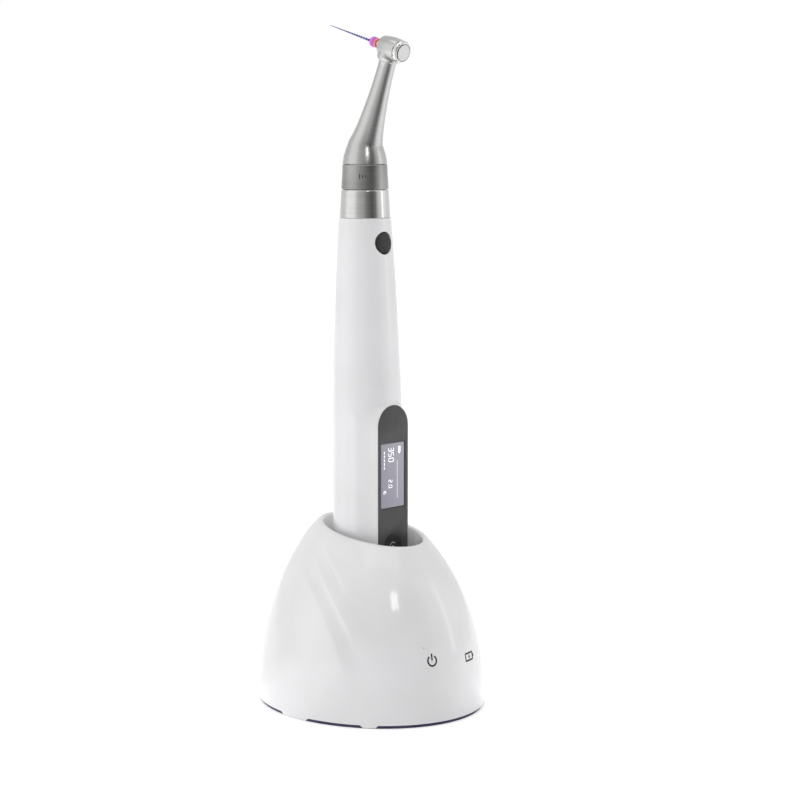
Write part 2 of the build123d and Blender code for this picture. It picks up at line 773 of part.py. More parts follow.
def file_shank():
    shank = rod(shank_radius, shank_back, shank_front)
    shank -= rod(blade_stem_radius, shank_front - 2.1, shank_front)
    flat = block((shank_radius - 0.35, -2, shank_back), (2, 2, shank_back + 1.6))
    return head * (shank - flat)


def file_ring():
    return head * tube(ring_radius, shank_radius, shank_front - 1.2, shank_front - 0.1)


def file_blade():
    return head * turned((0, shank_front - 2.1), (blade_stem_radius, shank_front - 2.1),
                         (blade_stem_radius, blade_start), (blade_radius, blade_start + 1),
                         (tip_radius, blade_tip), (0, blade_tip))


def file_stop():
    low = shank_front
    high = shank_front + stop_length
    bead = turned((0, low), (stop_radius - 0.35, low), (stop_radius, low + 0.45), (stop_radius, high - 0.6),
                  (stop_radius - 0.5, high), (0, high))
    return head * (bead - rod(blade_radius + 0.06, low, high))


os.makedirs("parts", exist_ok=True)

save(base_shell(), "base_shell")
save(bottom_plate(), "bottom_plate")
save(column(base_half_width - foot_inset, base_half_depth - foot_inset, 0, 0, foot_height), "foot_pad")
save(well_liner(), "well_liner")
save(ballast_weight(), "ballast_weight")
save(base_circuit_board(), "base_circuit_board")
shell_screws = [screw(x, y, foot_height, screw_length) for x, y in corners(boss_x, boss_y)]
save(Compound(children=shell_screws), "shell_screws")
board_screw_places = corners(base_board_half_width - 3, 24)
save(Compound(children=[board_screw(x, y) for x, y in board_screw_places]), "board_screws")
save(pin_block(), "pin_block")
save(Compound(children=[charge_pin(side) for side in (-1, 1)]), "charge_pins")
save(Compound(children=[charge_spring(side) for side in (-1, 1)]), "charge_springs")
save(light_pipe(light_pipe_x[0], 0), "power_light_pipe")
save(light_pipe(light_pipe_x[1], 0), "charge_light_pipe")
save(power_inlet(), "power_inlet")

save(handpiece_shell(), "handpiece_shell")
save(tail_cap(), "tail_cap")
save(contact_pads(), "contact_pads")
save(battery(), "battery")
save(display_lens(), "display_lens")
save(lcd_module(), "lcd_module")
save(main_circuit_board(), "main_circuit_board")
save(Compound(children=[key_switch(z) for z in key_heights]), "key_switches")
save(dimpled_key(key_heights[0]), "set_key")
save(dimpled_key(key_heights[1]), "mode_key")
save(power_button(), "power_button")
save(button_board(), "button_board")
save(motor_can(), "motor_can")
save(motor_rotor(), "motor_rotor")
save(motor_mount(), "motor_mount")
save(nose_collar(), "nose_collar")
save(shaft_bearing(), "shaft_bearing")
save(nose_o_ring(), "nose_o_ring")
save(lead_socket(), "lead_socket")

save(index_ring(), "index_ring")
save(ratio_sleeve(), "ratio_sleeve")
save(input_bush(), "input_bush")
save(ring_gear(), "ring_gear")
save(input_shaft(), "input_shaft")
for number in range(planet_count):
    save(planet_gear(number), f"planet_gear_{number + 1}")
save(planet_carrier(), "planet_carrier")
save(neck_shaft(), "neck_shaft")
save(neck_bushes(), "neck_bushes")
save(head_body(), "head_body")
save(spindle(), "spindle")
save(spindle_bearings(), "spindle_bearings")
save(head_cap(), "head_cap")
save(head_button(), "head_button")
save(button_spring(), "button_spring")

save(file_shank(), "file_shank")
save(file_ring(), "file_ring")
save(file_blade(), "file_blade")
save(file_stop(), "file_stop")
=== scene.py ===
import bpy
import bmesh
import json
import numpy as np
from math import cos, pi, radians, sin, tan
from mathutils import Matrix, Vector


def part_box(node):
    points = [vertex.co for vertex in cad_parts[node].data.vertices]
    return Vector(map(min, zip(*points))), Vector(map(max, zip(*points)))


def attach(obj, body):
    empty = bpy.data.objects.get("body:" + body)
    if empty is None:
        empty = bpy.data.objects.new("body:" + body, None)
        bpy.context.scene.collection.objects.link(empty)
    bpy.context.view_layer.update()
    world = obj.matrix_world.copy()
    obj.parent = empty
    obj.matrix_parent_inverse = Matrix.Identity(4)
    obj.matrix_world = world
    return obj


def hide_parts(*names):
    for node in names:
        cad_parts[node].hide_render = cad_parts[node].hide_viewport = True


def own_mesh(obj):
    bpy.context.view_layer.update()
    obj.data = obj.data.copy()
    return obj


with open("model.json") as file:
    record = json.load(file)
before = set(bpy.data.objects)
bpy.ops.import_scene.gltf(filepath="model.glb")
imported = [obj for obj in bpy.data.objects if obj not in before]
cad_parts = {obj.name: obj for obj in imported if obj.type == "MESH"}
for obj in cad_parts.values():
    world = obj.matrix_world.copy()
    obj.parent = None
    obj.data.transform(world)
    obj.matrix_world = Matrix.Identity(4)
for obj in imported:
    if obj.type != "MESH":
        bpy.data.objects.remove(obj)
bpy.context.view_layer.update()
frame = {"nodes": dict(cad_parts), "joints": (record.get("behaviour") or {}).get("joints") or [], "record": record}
nodes = frame["nodes"]
joints = {joint["name"]: joint for joint in frame["joints"]}
mm = 0.001
print("frame loaded,", len(nodes), "nodes")

# Axes and places shared by the pieces, in millimetres
noseAt = Vector(joints["motor_spin"]["pos_m"]) / mm
noseAt.z = 0
upright = Vector((0, 0, 1))
inward = Vector((0, 1, 0))
neckAxis = Vector(joints["neck_shaft_spin"]["axis"]).normalized()
kneeAt = Vector(joints["neck_shaft_spin"]["pos_m"]) / mm
headAxis = Vector(joints["spindle_spin"]["axis"]).normalized()
headAt = Vector(joints["spindle_spin"]["pos_m"]) / mm


def boxOf(node):
    low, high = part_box(node)
    return low / mm, high / mm


# Point on the Z axis, level with the middle of a node
def levelOf(node):
    low, high = boxOf(node)
    return Vector((0, 0, (low.z + high.z) / 2))


view = {"distance": 715.7, "height": 197.5, "turn": -45.566, "pitch": 7.432, "aside": 10.8, "forward": 0.92,
        "lens": 95.17}


def buildCamera():
    turn = radians(view["turn"])
    back = Vector((sin(turn), -cos(turn), 0))
    right = Vector((cos(turn), sin(turn), 0))
    place = back * view["distance"] + right * view["aside"] + Vector((0, view["forward"], view["height"]))
    camera = bpy.data.objects.new("camera", bpy.data.cameras.new("camera"))
    camera.data.lens = view["lens"]
    camera.data.sensor_width = 36
    camera.data.clip_start = 0.01
    camera.location = place * mm
    camera.rotation_euler = (radians(90 - view["pitch"]), 0, turn)
    bpy.context.scene.collection.objects.link(camera)
    bpy.context.scene.camera = camera


# skyFrom and skyTo are the steepness at which the horizon's tones start and end to give way to the sky's
studio = {"floor": (0.93, 0.93, 0.94), "floorGlow": 0.32, "floorSize": 4.0, "floorSteps": 20, "backdrop": 1.0,
          "fill": 0.86, "sky": 0.95, "skyFrom": 0.6, "skyTo": 0.95}
# Brightness round the horizon: degrees to the right of the lens's own direction, and the light from there
horizon = ((-180, 1.0), (-112, 1.0), (-88, 1.5), (-52, 1.4), (-34, 0.8), (-6, 0.55), (10, 0.28), (34, 0.13),
           (52, 0.25), (66, 0.8), (96, 1.3), (130, 1.0), (180, 1.0))
# name, place, what it faces, width, height and power
lamps = (("topBox", (-0.1, -0.1, 1.0), (0, 0, 0.05), 0.8, 0.8, 1.6),
         ("sideStrip", (0.62, -0.62, 0.32), (0, 0, 0.08), 0.12, 0.5, 0.16),
         ("frontWindow", (-0.34, -0.58, 0.58), (0, -0.02, 0.04), 0.15, 0.15, 0.36))


# Links a socket to another one, or gives it a value
def put(tree, socket, value):
    if isinstance(value, bpy.types.NodeSocket):
        tree.links.new(value, socket)
    elif socket.type == "RGBA" and len(value) == 3:
        socket.default_value = (*value, 1)
    else:
        socket.default_value = value


# Adds a node and fills its named inputs
def added(tree, kind, **inputs):
    node = tree.nodes.new(kind)
    for label, value in inputs.items():
        put(tree, node.inputs[label.replace("_", " ")], value)
    return node


def maths(tree, operation, *values, clamp=False):
    node = tree.nodes.new("ShaderNodeMath")
    node.operation = operation
    node.use_clamp = clamp
    for socket, value in zip(node.inputs, values):
        put(tree, socket, value)
    return node.outputs[0]


# Two colours mixed by a mask
def mixed(tree, mask, first, second, blend="MIX"):
    node = tree.nodes.new("ShaderNodeMix")
    node.data_type = "RGBA"
    node.blend_type = blend
    for index, value in ((0, mask), (6, first), (7, second)):
        put(tree, node.inputs[index], value)
    return node.outputs[2]


# Ramp that turns a share of the way round the horizon into its brightness
def horizonRamp(tree, share):
    ramp = added(tree, "ShaderNodeValToRGB", Fac=share)
    elements = ramp.color_ramp.elements
    while len(elements) < len(horizon):
        elements.new(0.5)
    for element, (degrees, level) in zip(elements, horizon):
        element.position = (degrees + 180) / 360
        element.color = (level, level, level, 1)
    return ramp.outputs["Color"]


# Pale surroundings with a dark card beside the lens, so that the metal has something to reflect
def buildSurroundings():
    world = bpy.data.worlds.new("studio")
    world.use_nodes = True
    tree = world.node_tree
    split = added(tree, "ShaderNodeSeparateXYZ",
                  Vector=tree.nodes.new("ShaderNodeTexCoord").outputs["Generated"])
    turn = radians(view["turn"])
    parts = []
    for first, second in ((cos(turn), sin(turn)), (sin(turn), -cos(turn))):
        onX = maths(tree, "MULTIPLY", split.outputs["X"], first)
        parts.append(maths(tree, "MULTIPLY_ADD", split.outputs["Y"], second, onX))
    share = added(tree, "ShaderNodeMapRange", Value=maths(tree, "ARCTAN2", *parts), From_Min=-pi, From_Max=pi)
    climb = added(tree, "ShaderNodeMapRange", Value=split.outputs["Z"], From_Min=studio["skyFrom"],
                  From_Max=studio["skyTo"])
    ring = horizonRamp(tree, share.outputs["Result"])
    light = mixed(tree, climb.outputs["Result"], ring, (studio["sky"],) * 3)
    rays = tree.nodes.new("ShaderNodeLightPath")
    seen = mixed(tree, rays.outputs["Is Camera Ray"], light, (studio["backdrop"] / studio["fill"],) * 3)
    put(tree, tree.nodes["Background"].inputs["Color"], seen)
    tree.nodes["Background"].inputs["Strength"].default_value = studio["fill"]
    bpy.context.scene.world = world


def buildStudio():
    buildSurroundings()
    bpy.context.scene.view_settings.view_transform = "Standard"
    for name, place, aim, width, height, power in lamps:
        light = bpy.data.lights.new(name, "AREA")
        light.shape = "RECTANGLE"
        light.size = width
        light.size_y = height
        light.energy = power
        lamp = bpy.data.objects.new(name, light)
        lamp.location = place
        lamp.rotation_euler = (Vector(aim) - Vector(place)).to_track_quat("-Z", "Y").to_euler()
        bpy.context.scene.collection.objects.link(lamp)


def newGroup(name, inputs, outputs):
    group = bpy.data.node_groups.new(name, "ShaderNodeTree")
    for label, kind, value in inputs:
        socket = group.interface.new_socket(name=label, in_out="INPUT", socket_type=kind)
        if value is not None:
            socket.default_value = value
    for label, kind in outputs:
        group.interface.new_socket(name=label, in_out="OUTPUT", socket_type=kind)
    return group, group.nodes.new("NodeGroupInput"), group.nodes.new("NodeGroupOutput")


floatSocket = "NodeSocketFloat"
vectorSocket = "NodeSocketVector"


# Noise at one scale, given as a mask, a roughness between Low and High, and a height
def buildGrain():
    group, source, sink = newGroup(
        "surfaceGrain",
        [("Vector", vectorSocket, None), ("Scale", floatSocket, 1000), ("Detail", floatSocket, 3),
         ("Low", floatSocket, 0.3), ("High", floatSocket, 0.4)],
        [("Mask", floatSocket), ("Roughness", floatSocket), ("Height", floatSocket)])
    given = source.outputs
    noise = added(group, "ShaderNodeTexNoise", Vector=given["Vector"], Scale=given["Scale"],
                  Detail=given["Detail"])
    spread = added(group, "ShaderNodeMapRange", Value=noise.outputs["Fac"], From_Min=0.3, From_Max=0.7,
                   To_Min=given["Low"], To_Max=given["High"])
    put(group, sink.inputs["Roughness"], spread.outputs["Result"])
    for label in ("Mask", "Height"):
        put(group, sink.inputs[label], noise.outputs["Fac"])
    return group


# Sparse marks, where a coarse noise passes a limit inside a fine one
def buildMarks():
    group, source, sink = newGroup(
        "sparseMarks",
        [("Vector", vectorSocket, None), ("Coarse", floatSocket, 100), ("Fine", floatSocket, 2000),
         ("Limit", floatSocket, 0.6)],
        [("Mask", floatSocket)])
    given = source.outputs
    edge = 12  # how sharply a mark begins
    masks = []
    for label in ("Coarse", "Fine"):
        noise = added(group, "ShaderNodeTexNoise", Vector=given["Vector"], Scale=given[label])
        rise = maths(group, "SUBTRACT", noise.outputs["Fac"], given["Limit"])
        masks.append(maths(group, "MULTIPLY", rise, edge, clamp=True))
    put(group, sink.inputs["Mask"], maths(group, "MULTIPLY", *masks))
    return group


grainGroup = buildGrain()
marksGroup = buildMarks()


class Finish:
    # One material with its Principled BSDF and a few shortcuts
    def __init__(self, name, **sockets):
        self.material = bpy.data.materials.new(name)
        self.material.use_nodes = True
        self.tree = self.material.node_tree
        self.shader = self.tree.nodes["Principled BSDF"]
        for label, value in sockets.items():
            self.set(label.replace("_", " "), value)
        self.place = self.tree.nodes.new("ShaderNodeTexCoord").outputs["Object"]

    def set(self, label, value):
        put(self.tree, self.shader.inputs[label], value)

    def add(self, kind, **inputs):
        return added(self.tree, kind, **inputs)

    def grain(self, group=grainGroup, **inputs):
        node = self.tree.nodes.new("ShaderNodeGroup")
        node.node_tree = group
        for label, value in inputs.items():
            put(self.tree, node.inputs[label], value)
        return node.outputs

    # Object coordinates stretched along an axis, so that a noise becomes brushed lines
    def stretched(self, scale, turn=(0, 0, 0)):
        return self.add("ShaderNodeMapping", Vector=self.place, Rotation=turn, Scale=scale).outputs["Vector"]

    def bump(self, height, distance, strength):
        node = self.add("ShaderNodeBump", Height=height, Distance=distance, Strength=strength)
        self.set("Normal", node.outputs["Normal"])

    # Colour between a dark and a light tone
    def shade(self, mask, dark, light):
        ramp = self.add("ShaderNodeValToRGB", Fac=mask)
        for element, position, tone in zip(ramp.color_ramp.elements, (0.35, 0.65), (dark, light)):
            element.position = position
            element.color = (*tone, 1)
        return ramp.outputs["Color"]

    def mix(self, mask, first, second):
        return mixed(self.tree, mask, first, second)

    def finish(self, colour, rough):
        self.set("Base Color", colour)
        self.set("Roughness", rough)


# Moulded plastic: cloudy tint, faint orange peel and a few hairline rubs
def mouldedPlastic(name, dark, light, low, high, peel=260, coat=0.0):
    made = Finish(name, IOR=1.5, Coat_Weight=coat, Coat_Roughness=0.06)
    cloud = made.grain(Vector=made.place, Scale=38, Detail=2, Low=low, High=high)
    skin = made.grain(Vector=made.place, Scale=peel, Detail=1)
    rubs = made.grain(marksGroup, Vector=made.stretched((1, 1, 0.12), (0.5, 0.3, 0)), Coarse=60, Fine=2600,
                      Limit=0.57)
    rough = maths(made.tree, "MULTIPLY_ADD", cloud["Roughness"], rubs["Mask"], cloud["Roughness"])
    made.finish(made.shade(cloud["Mask"], dark, light), rough)
    made.bump(skin["Height"], 0.00004, 0.35)
    return made.material


# Metal with lines cut round or along it, and a cloudy change of tone
def linedMetal(name, dark, light, low, high, fine=900, depth=0.000012, aniso=0.0):
    made = Finish(name, Metallic=1.0, Anisotropic=aniso)
    lines = made.grain(Vector=made.stretched((0.02, 0.02, 1)), Scale=fine, Detail=4, Low=low, High=high)
    cloud = made.grain(Vector=made.place, Scale=70, Detail=3)
    tone = made.shade(cloud["Mask"], dark, light)
    made.finish(made.mix(lines["Mask"], tone, light), lines["Roughness"])
    made.bump(lines["Height"], depth, 0.6)
    return made.material


# Metal with a fine blasted or cast grain, with painted shade that makes it a little darker in its hollows
def grainyMetal(name, dark, light, low, high, fine=5200, depth=0.00002, metallic=1.0):
    made = Finish(name, Metallic=metallic)
    gritAndShade = made.grain(Vector=made.place, Scale=fine, Detail=5, Low=low, High=high)
    cloud = made.grain(Vector=made.place, Scale=110, Detail=3)
    # painted shade: the grain's low spots, where the bump sinks, take the dark tone
    tone = made.shade(gritAndShade["Mask"], dark, light)
    made.finish(made.mix(cloud["Mask"], tone, light), gritAndShade["Roughness"])
    made.bump(gritAndShade["Height"], depth, 0.5)
    return made.material


# Rubber or silicone: matt, with a close pebble grain and pale dust in places
def rubberSkin(name, dark, light, low, high, depth=0.00003, dust=0.0, glow=0.0):
    made = Finish(name, IOR=1.45, Subsurface_Weight=glow, Subsurface_Scale=0.0008)
    grain = made.grain(Vector=made.place, Scale=3200, Detail=3, Low=low, High=high)
    cloud = made.grain(Vector=made.place, Scale=160, Detail=2)
    tone = made.shade(cloud["Mask"], dark, light)
    if dust > 0:
        specks = made.grain(marksGroup, Vector=made.place, Coarse=240, Fine=5200, Limit=0.56)
        tone = made.mix(specks["Mask"], tone, tuple(channel + dust for channel in light))
    made.finish(tone, grain["Roughness"])
    made.bump(grain["Height"], depth, 0.7)
    return made.material


# Circuit board: green resist with tracks showing as slightly lighter lines
def boardFinish():
    made = Finish("boardResist", IOR=1.5)
    tracks = made.add("ShaderNodeTexBrick", Vector=made.place, Scale=420, Color1=(0.015, 0.13, 0.05),
                      Color2=(0.02, 0.17, 0.07), Mortar=(0.09, 0.3, 0.12))
    grain = made.grain(Vector=made.place, Scale=1800, Detail=3, Low=0.3, High=0.45)
    made.finish(tracks.outputs["Color"], grain["Roughness"])
    made.bump(tracks.outputs["Fac"], 0.00003, 0.6)
    return made.material


# Lit liquid-crystal glass: lavender grey, paler to one end, with a fine grid of cells
def screenFinish():
    made = Finish("screenGlass", IOR=1.5, Coat_Weight=0.4, Coat_Roughness=0.04)
    low, high = boxOf("lcd_module")
    split = made.add("ShaderNodeSeparateXYZ", Vector=made.place)
    climb = made.add("ShaderNodeMapRange", Value=split.outputs["Z"], From_Min=low.z * mm,
                     From_Max=high.z * mm)
    cells = made.grain(Vector=made.place, Scale=420, Detail=2, Low=0.1, High=0.18)
    tone = made.mix(climb.outputs["Result"], (0.2, 0.185, 0.25), (0.26, 0.255, 0.285))
    tone = made.mix(cells["Mask"], tone, (0.225, 0.215, 0.26))
    made.finish(tone, cells["Roughness"])
    made.set("Emission Color", tone)
    made.set("Emission Strength", 0.35)
    return made.material


# Clear moulded light pipe with faint flow lines
def clearFinish():
    made = Finish("clearPipe", Transmission_Weight=1.0, IOR=1.49)
    flow = made.grain(Vector=made.stretched((1, 1, 0.2)), Scale=700, Detail=2, Low=0.04, High=0.16)
    made.finish(made.shade(flow["Mask"], (0.86, 0.92, 0.95), (0.95, 0.97, 1.0)), flow["Roughness"])
    made.bump(flow["Height"], 0.00002, 0.3)
    return made.material


# Heat-treated file metal: blue and violet zones with bright fresh edges
def heatedFinish():
    made = Finish("heatedBlade", Metallic=1.0)
    zones = made.grain(Vector=made.place, Scale=620, Detail=2, Low=0.2, High=0.34)
    lines = made.grain(Vector=made.place, Scale=5000, Detail=4)
    bands = made.shade(zones["Mask"], (0.03, 0.028, 0.1), (0.22, 0.24, 0.56))
    made.finish(made.mix(lines["Mask"], bands, (0.14, 0.13, 0.34)), zones["Roughness"])
    made.bump(lines["Height"], 0.000005, 0.5)
    return made.material


# Bright figures on the screen, lit from behind
def figureFinish():
    made = Finish("screenInk", Emission_Strength=0.75)
    cells = made.grain(Vector=made.place, Scale=900, Detail=2, Low=0.3, High=0.5)
    tone = made.shade(cells["Mask"], (0.8, 0.8, 0.86), (0.95, 0.95, 1.0))
    made.finish(tone, cells["Roughness"])
    made.set("Emission Color", tone)
    return made.material


finishes = {
    "white_plastic": mouldedPlastic("whiteGloss", (0.73, 0.73, 0.737), (0.78, 0.78, 0.79), 0.1, 0.17,
                                    coat=0.5),
    "inner_plastic": mouldedPlastic("whiteMatt", (0.7, 0.7, 0.7), (0.76, 0.76, 0.76), 0.38, 0.5, peel=900),
    "black_plastic": mouldedPlastic("blackMatt", (0.02, 0.02, 0.022), (0.04, 0.04, 0.042), 0.42, 0.56,
                                    peel=1600),
    "panel_black": mouldedPlastic("panelSatin", (0.035, 0.035, 0.036), (0.048, 0.048, 0.048), 0.36, 0.46,
                                  peel=3800),
    "key_black": rubberSkin("keyRubber", (0.012, 0.012, 0.013), (0.03, 0.03, 0.03), 0.5, 0.68, dust=0.03),
    "foot_rubber": rubberSkin("footRubber", (0.03, 0.028, 0.075), (0.06, 0.055, 0.12), 0.6, 0.8, dust=0.05),
    "satin_steel": grainyMetal("satinSteel", (0.4, 0.4, 0.396), (0.52, 0.52, 0.512), 0.2, 0.3),
    "polished_steel": linedMetal("polishedSteel", (0.5, 0.5, 0.5), (0.66, 0.66, 0.65), 0.08, 0.17,
                                 fine=1500, depth=0.000004, aniso=0.4),
    "bearing_steel": linedMetal("groundSteel", (0.5, 0.5, 0.51), (0.66, 0.66, 0.67), 0.18, 0.32),
    "ballast_iron": grainyMetal("castIron", (0.09, 0.09, 0.095), (0.17, 0.17, 0.175), 0.5, 0.7, fine=1500,
                                depth=0.0001, metallic=0.9),
    "contact_gold": linedMetal("goldPlate", (0.75, 0.5, 0.16), (0.95, 0.74, 0.36), 0.16, 0.3, fine=1400),
    "battery_wrap": mouldedPlastic("cellWrap", (0.05, 0.14, 0.36), (0.08, 0.2, 0.46), 0.22, 0.36, peel=700),
    "ring_pink": grainyMetal("pinkRing", (0.55, 0.08, 0.16), (0.86, 0.26, 0.38), 0.25, 0.4, fine=3000,
                             metallic=0.55),
    "stop_purple": rubberSkin("purpleSilicone", (0.4, 0.1, 0.5), (0.62, 0.2, 0.72), 0.38, 0.55,
                              depth=0.00001, glow=0.2),
    "board_green": boardFinish(),
    "lcd_glass": screenFinish(),
    "clear_plastic": clearFinish(),
    "file_blue": heatedFinish()}
bandSteel = linedMetal("bandSteel", (0.25, 0.25, 0.246), (0.36, 0.36, 0.35), 0.26, 0.38, fine=1700)
inkBlack = rubberSkin("printInk", (0.01, 0.01, 0.01), (0.022, 0.022, 0.024), 0.45, 0.6, depth=0.000004)
inkGrey = rubberSkin("keyInk", (0.42, 0.42, 0.42), (0.52, 0.52, 0.52), 0.4, 0.55, depth=0.000004)
screenWhite = figureFinish()
slotOf = {entry["node"]: entry["material_slot"] for entry in frame["record"]["subparts"]}
for name, piece in nodes.items():
    piece.data.materials.clear()
    piece.data.materials.append(finishes[slotOf[name]])
print("materials built")


def newPiece(name, points, faces, material):
    mesh = bpy.data.meshes.new(name)
    mesh.from_pydata([tuple(point) for point in points], [], faces)
    mesh.update()
    piece = bpy.data.objects.new(name, mesh)
    bpy.context.scene.collection.objects.link(piece)
    mesh.materials.append(material)
    return piece


# Merges doubles, drops empty faces, turns every face outwards and shades it smooth up to an angle
def tidy(piece, sharp=32):
    shape = bmesh.new()
    shape.from_mesh(piece.data)
    bmesh.ops.remove_doubles(shape, verts=shape.verts, dist=2e-7)
    bmesh.ops.dissolve_degenerate(shape, edges=shape.edges, dist=1e-7)
    bmesh.ops.recalc_face_normals(shape, faces=shape.faces)
    if shape.calc_volume(signed=True) < 0:
        bmesh.ops.reverse_faces(shape, faces=shape.faces)
    shape.to_mesh(piece.data)
    shape.free()
    piece.data.polygons.foreach_set("use_smooth", [True] * len(piece.data.polygons))
    piece.data.set_sharp_from_angle(angle=radians(sharp))
    piece.data.update()
    return piece


# Turns a piece's modifiers into plain mesh
def settle(piece):
    bpy.context.view_layer.update()
    graph = bpy.context.evaluated_depsgraph_get()
    mesh = bpy.data.meshes.new_from_object(piece.evaluated_get(graph))
    old = piece.data
    piece.modifiers.clear()
    piece.data = mesh
    bpy.data.meshes.remove(old)
    return piece


def combine(piece, other, operation):
    modifier = piece.modifiers.new("combine", "BOOLEAN")
    modifier.operation = operation
    modifier.solver = "EXACT"
    modifier.object = other
    settle(piece)
    bpy.data.objects.remove(other)
    return piece


def cut(piece, other):
    return combine(piece, other, "DIFFERENCE")


def unite(piece, other):
    return combine(piece, other, "UNION")


# Closed surface from rows of points in millimetres; each row closes, and so does the pile of rows
def ringed(name, rows, material, sharp=32):
    rows = np.asarray(rows, float)
    count, around = rows.shape[:2]
    faces = []
    for row in range(count):
        above = (row + 1) % count
        for step in range(around):
            beside = (step + 1) % around
            faces.append((row * around + step, row * around + beside, above * around + beside,
                          above * around + step))
    return tidy(newPiece(name, rows.reshape(-1, 3) * mm, faces, material), sharp)


# Rounds the corners of a closed outline, with a support point beside each arc
def softened(outline, radius, steps=4):
    result = []
    count = len(outline)
    for index, corner in enumerate(outline):
        here = Vector(corner[:2])
        before = Vector(outline[index - 1][:2]) - here
        after = Vector(outline[(index + 1) % count][:2]) - here
        size = corner[2] if len(corner) > 2 else radius
        if size <= 0 or before.length < 1e-6 or after.length < 1e-6:
            result.append(here)
            continue
        turn = before.angle(after)
        reach = min(size / tan(turn / 2), 0.42 * before.length, 0.42 * after.length) if turn < 3.0 else 0
        if reach < 1e-4:
            result.append(here)
            continue
        start = here + before.normalized() * reach
        end = here + after.normalized() * reach
        if before.length > 3 * reach:
            result.append(here + before.normalized() * reach * 1.5)
        for step in range(steps + 1):
            t = step / steps
            result.append(start * (1 - t) ** 2 + here * 2 * t * (1 - t) + end * t * t)
        if after.length > 3 * reach:
            result.append(here + after.normalized() * reach * 1.5)
    return result


def across(axis):
    side = Vector((1, 0, 0))
    return side, axis.cross(side).normalized()


# Turned piece: a closed outline of (radius, distance) points, spun about an axis
def lathe(name, outline, material, origin=noseAt, axis=upright, radius=0.15, around=144, sharp=32):
    profile = softened(outline, radius)
    side, up = across(axis)
    rows = []
    for point in profile:
        ring = []
        for step in range(around):
            angle = 2 * pi * step / around
            ring.append(origin + axis * point.y + (side * cos(angle) + up * sin(angle)) * max(point.x, 0))
        rows.append([tuple(place) for place in ring])
    return ringed(name, rows, material, sharp)


def rodCutter(radius, start, end, origin=noseAt, axis=upright):
    return lathe("cutter", [(0, start, 0), (radius, start, 0), (radius, end, 0), (0, end, 0)],
                 finishes["black_plastic"], origin, axis)


# Flat plate from closed 2-D outlines: the first is its edge, the rest are holes
def plate(name, outlines, thickness, bevel, material):
    curve = bpy.data.curves.new(name, "CURVE")
    curve.dimensions = "2D"
    curve.fill_mode = "BOTH"
    curve.extrude = (thickness / 2 - bevel) * mm
    curve.bevel_depth = bevel * mm
    curve.bevel_resolution = 2
    curve.offset = -bevel * mm
    for outline in outlines:
        spline = curve.splines.new("POLY")
        spline.points.add(len(outline) - 1)
        for target, (x, y) in zip(spline.points, outline):
            target.co = (x * mm, y * mm, 0, 1)
        spline.use_cyclic_u = True
    source = bpy.data.objects.new(name + "Outline", curve)
    bpy.context.scene.collection.objects.link(source)
    bpy.context.view_layer.update()
    mesh = bpy.data.meshes.new_from_object(source.evaluated_get(bpy.context.evaluated_depsgraph_get()))
    bpy.data.objects.remove(source)
    piece = bpy.data.objects.new(name, mesh)
    bpy.context.scene.collection.objects.link(piece)
    mesh.materials.clear()
    mesh.materials.append(material)
    return piece


# Puts a plate made in XY into an upright plane that faces -Y
def faceFront(piece, y, z=0.0, x=0.0):
    turn = Matrix.Rotation(radians(90), 4, "X")
    piece.data.transform(Matrix.Translation(Vector((x, y, z)) * mm) @ turn)
    return tidy(piece)


def circle(radius, x=0.0, y=0.0, steps=48):
    return [(x + radius * cos(2 * pi * step / steps),
             y + radius * sin(2 * pi * step / steps)) for step in range(steps)]


def slotOutline(halfWidth, top, bottom, steps=32):
    points = []
    for middle, start in ((top - halfWidth, 0), (bottom + halfWidth, pi)):
        for step in range(steps + 1):
            angle = start + pi * step / steps
            points.append((halfWidth * cos(angle), middle + halfWidth * sin(angle)))
    return points


def rectangle(width, height, x=0.0, y=0.0, corner=0.0):
    outline = [(x - width / 2, y - height / 2), (x + width / 2, y - height / 2),
               (x + width / 2, y + height / 2), (x - width / 2, y + height / 2)]
    return [tuple(point) for point in softened(outline, corner)] if corner else outline


def place(piece, body, slot, *replaced):
    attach(piece, body)
    if replaced:
        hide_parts(*replaced)
    return piece


def joined(name, pieces):
    shape = bmesh.new()
    for piece in pieces:
        shape.from_mesh(piece.data)
    mesh = bpy.data.meshes.new(name)
    shape.to_mesh(mesh)
    shape.free()
    mesh.materials.append(pieces[0].data.materials[0])
    for piece in pieces:
        bpy.data.objects.remove(piece)
    result = bpy.data.objects.new(name, mesh)
    bpy.context.scene.collection.objects.link(result)
    return tidy(result)


dome = {"crown": 70.5, "bend": 2.2, "round": 0.625, "lean": 2.0, "wall": 2.2, "foot": 1.08,
        "rimTilt": 8.64, "lip": 1.4, "mouthHalfWidth": 14.4, "mouthHalfDepth": 19.7, "mouthY": -1.2,
        "wellTop": 50.0, "collarBottom": 42.0, "inletRadius": 3.7, "around": 288, "rows": 190}
# Swept ridges on each side: top angle and height, how far and how fast they sweep forward, ridge height,
# width of the steep side and of the gentle side, and the height at which they have faded out
ridges = ({"angle": 102.2, "top": 48.6, "sweep": 47, "fall": 16.0, "height": 1.1, "gentle": 5.0, "end": 12},
          {"angle": 97.7, "top": 52.8, "sweep": 55, "fall": 19.0, "height": 0.8, "steep": 1.5,
           "gentle": 6.5, "end": 21},
          {"angle": 97.5, "top": 57.4, "sweep": 47, "fall": 11.5, "height": 0.5, "steep": 0.8,
           "gentle": 8.0, "end": 38})
shellHigh = boxOf("base_shell")[1]
domeMean = (shellHigh.x + shellHigh.y) / 2
domeSpread = (shellHigh.y - shellHigh.x) / 2


def smoothStep(value):
    value = np.clip(value, 0, 1)
    return value * value * (3 - 2 * value)


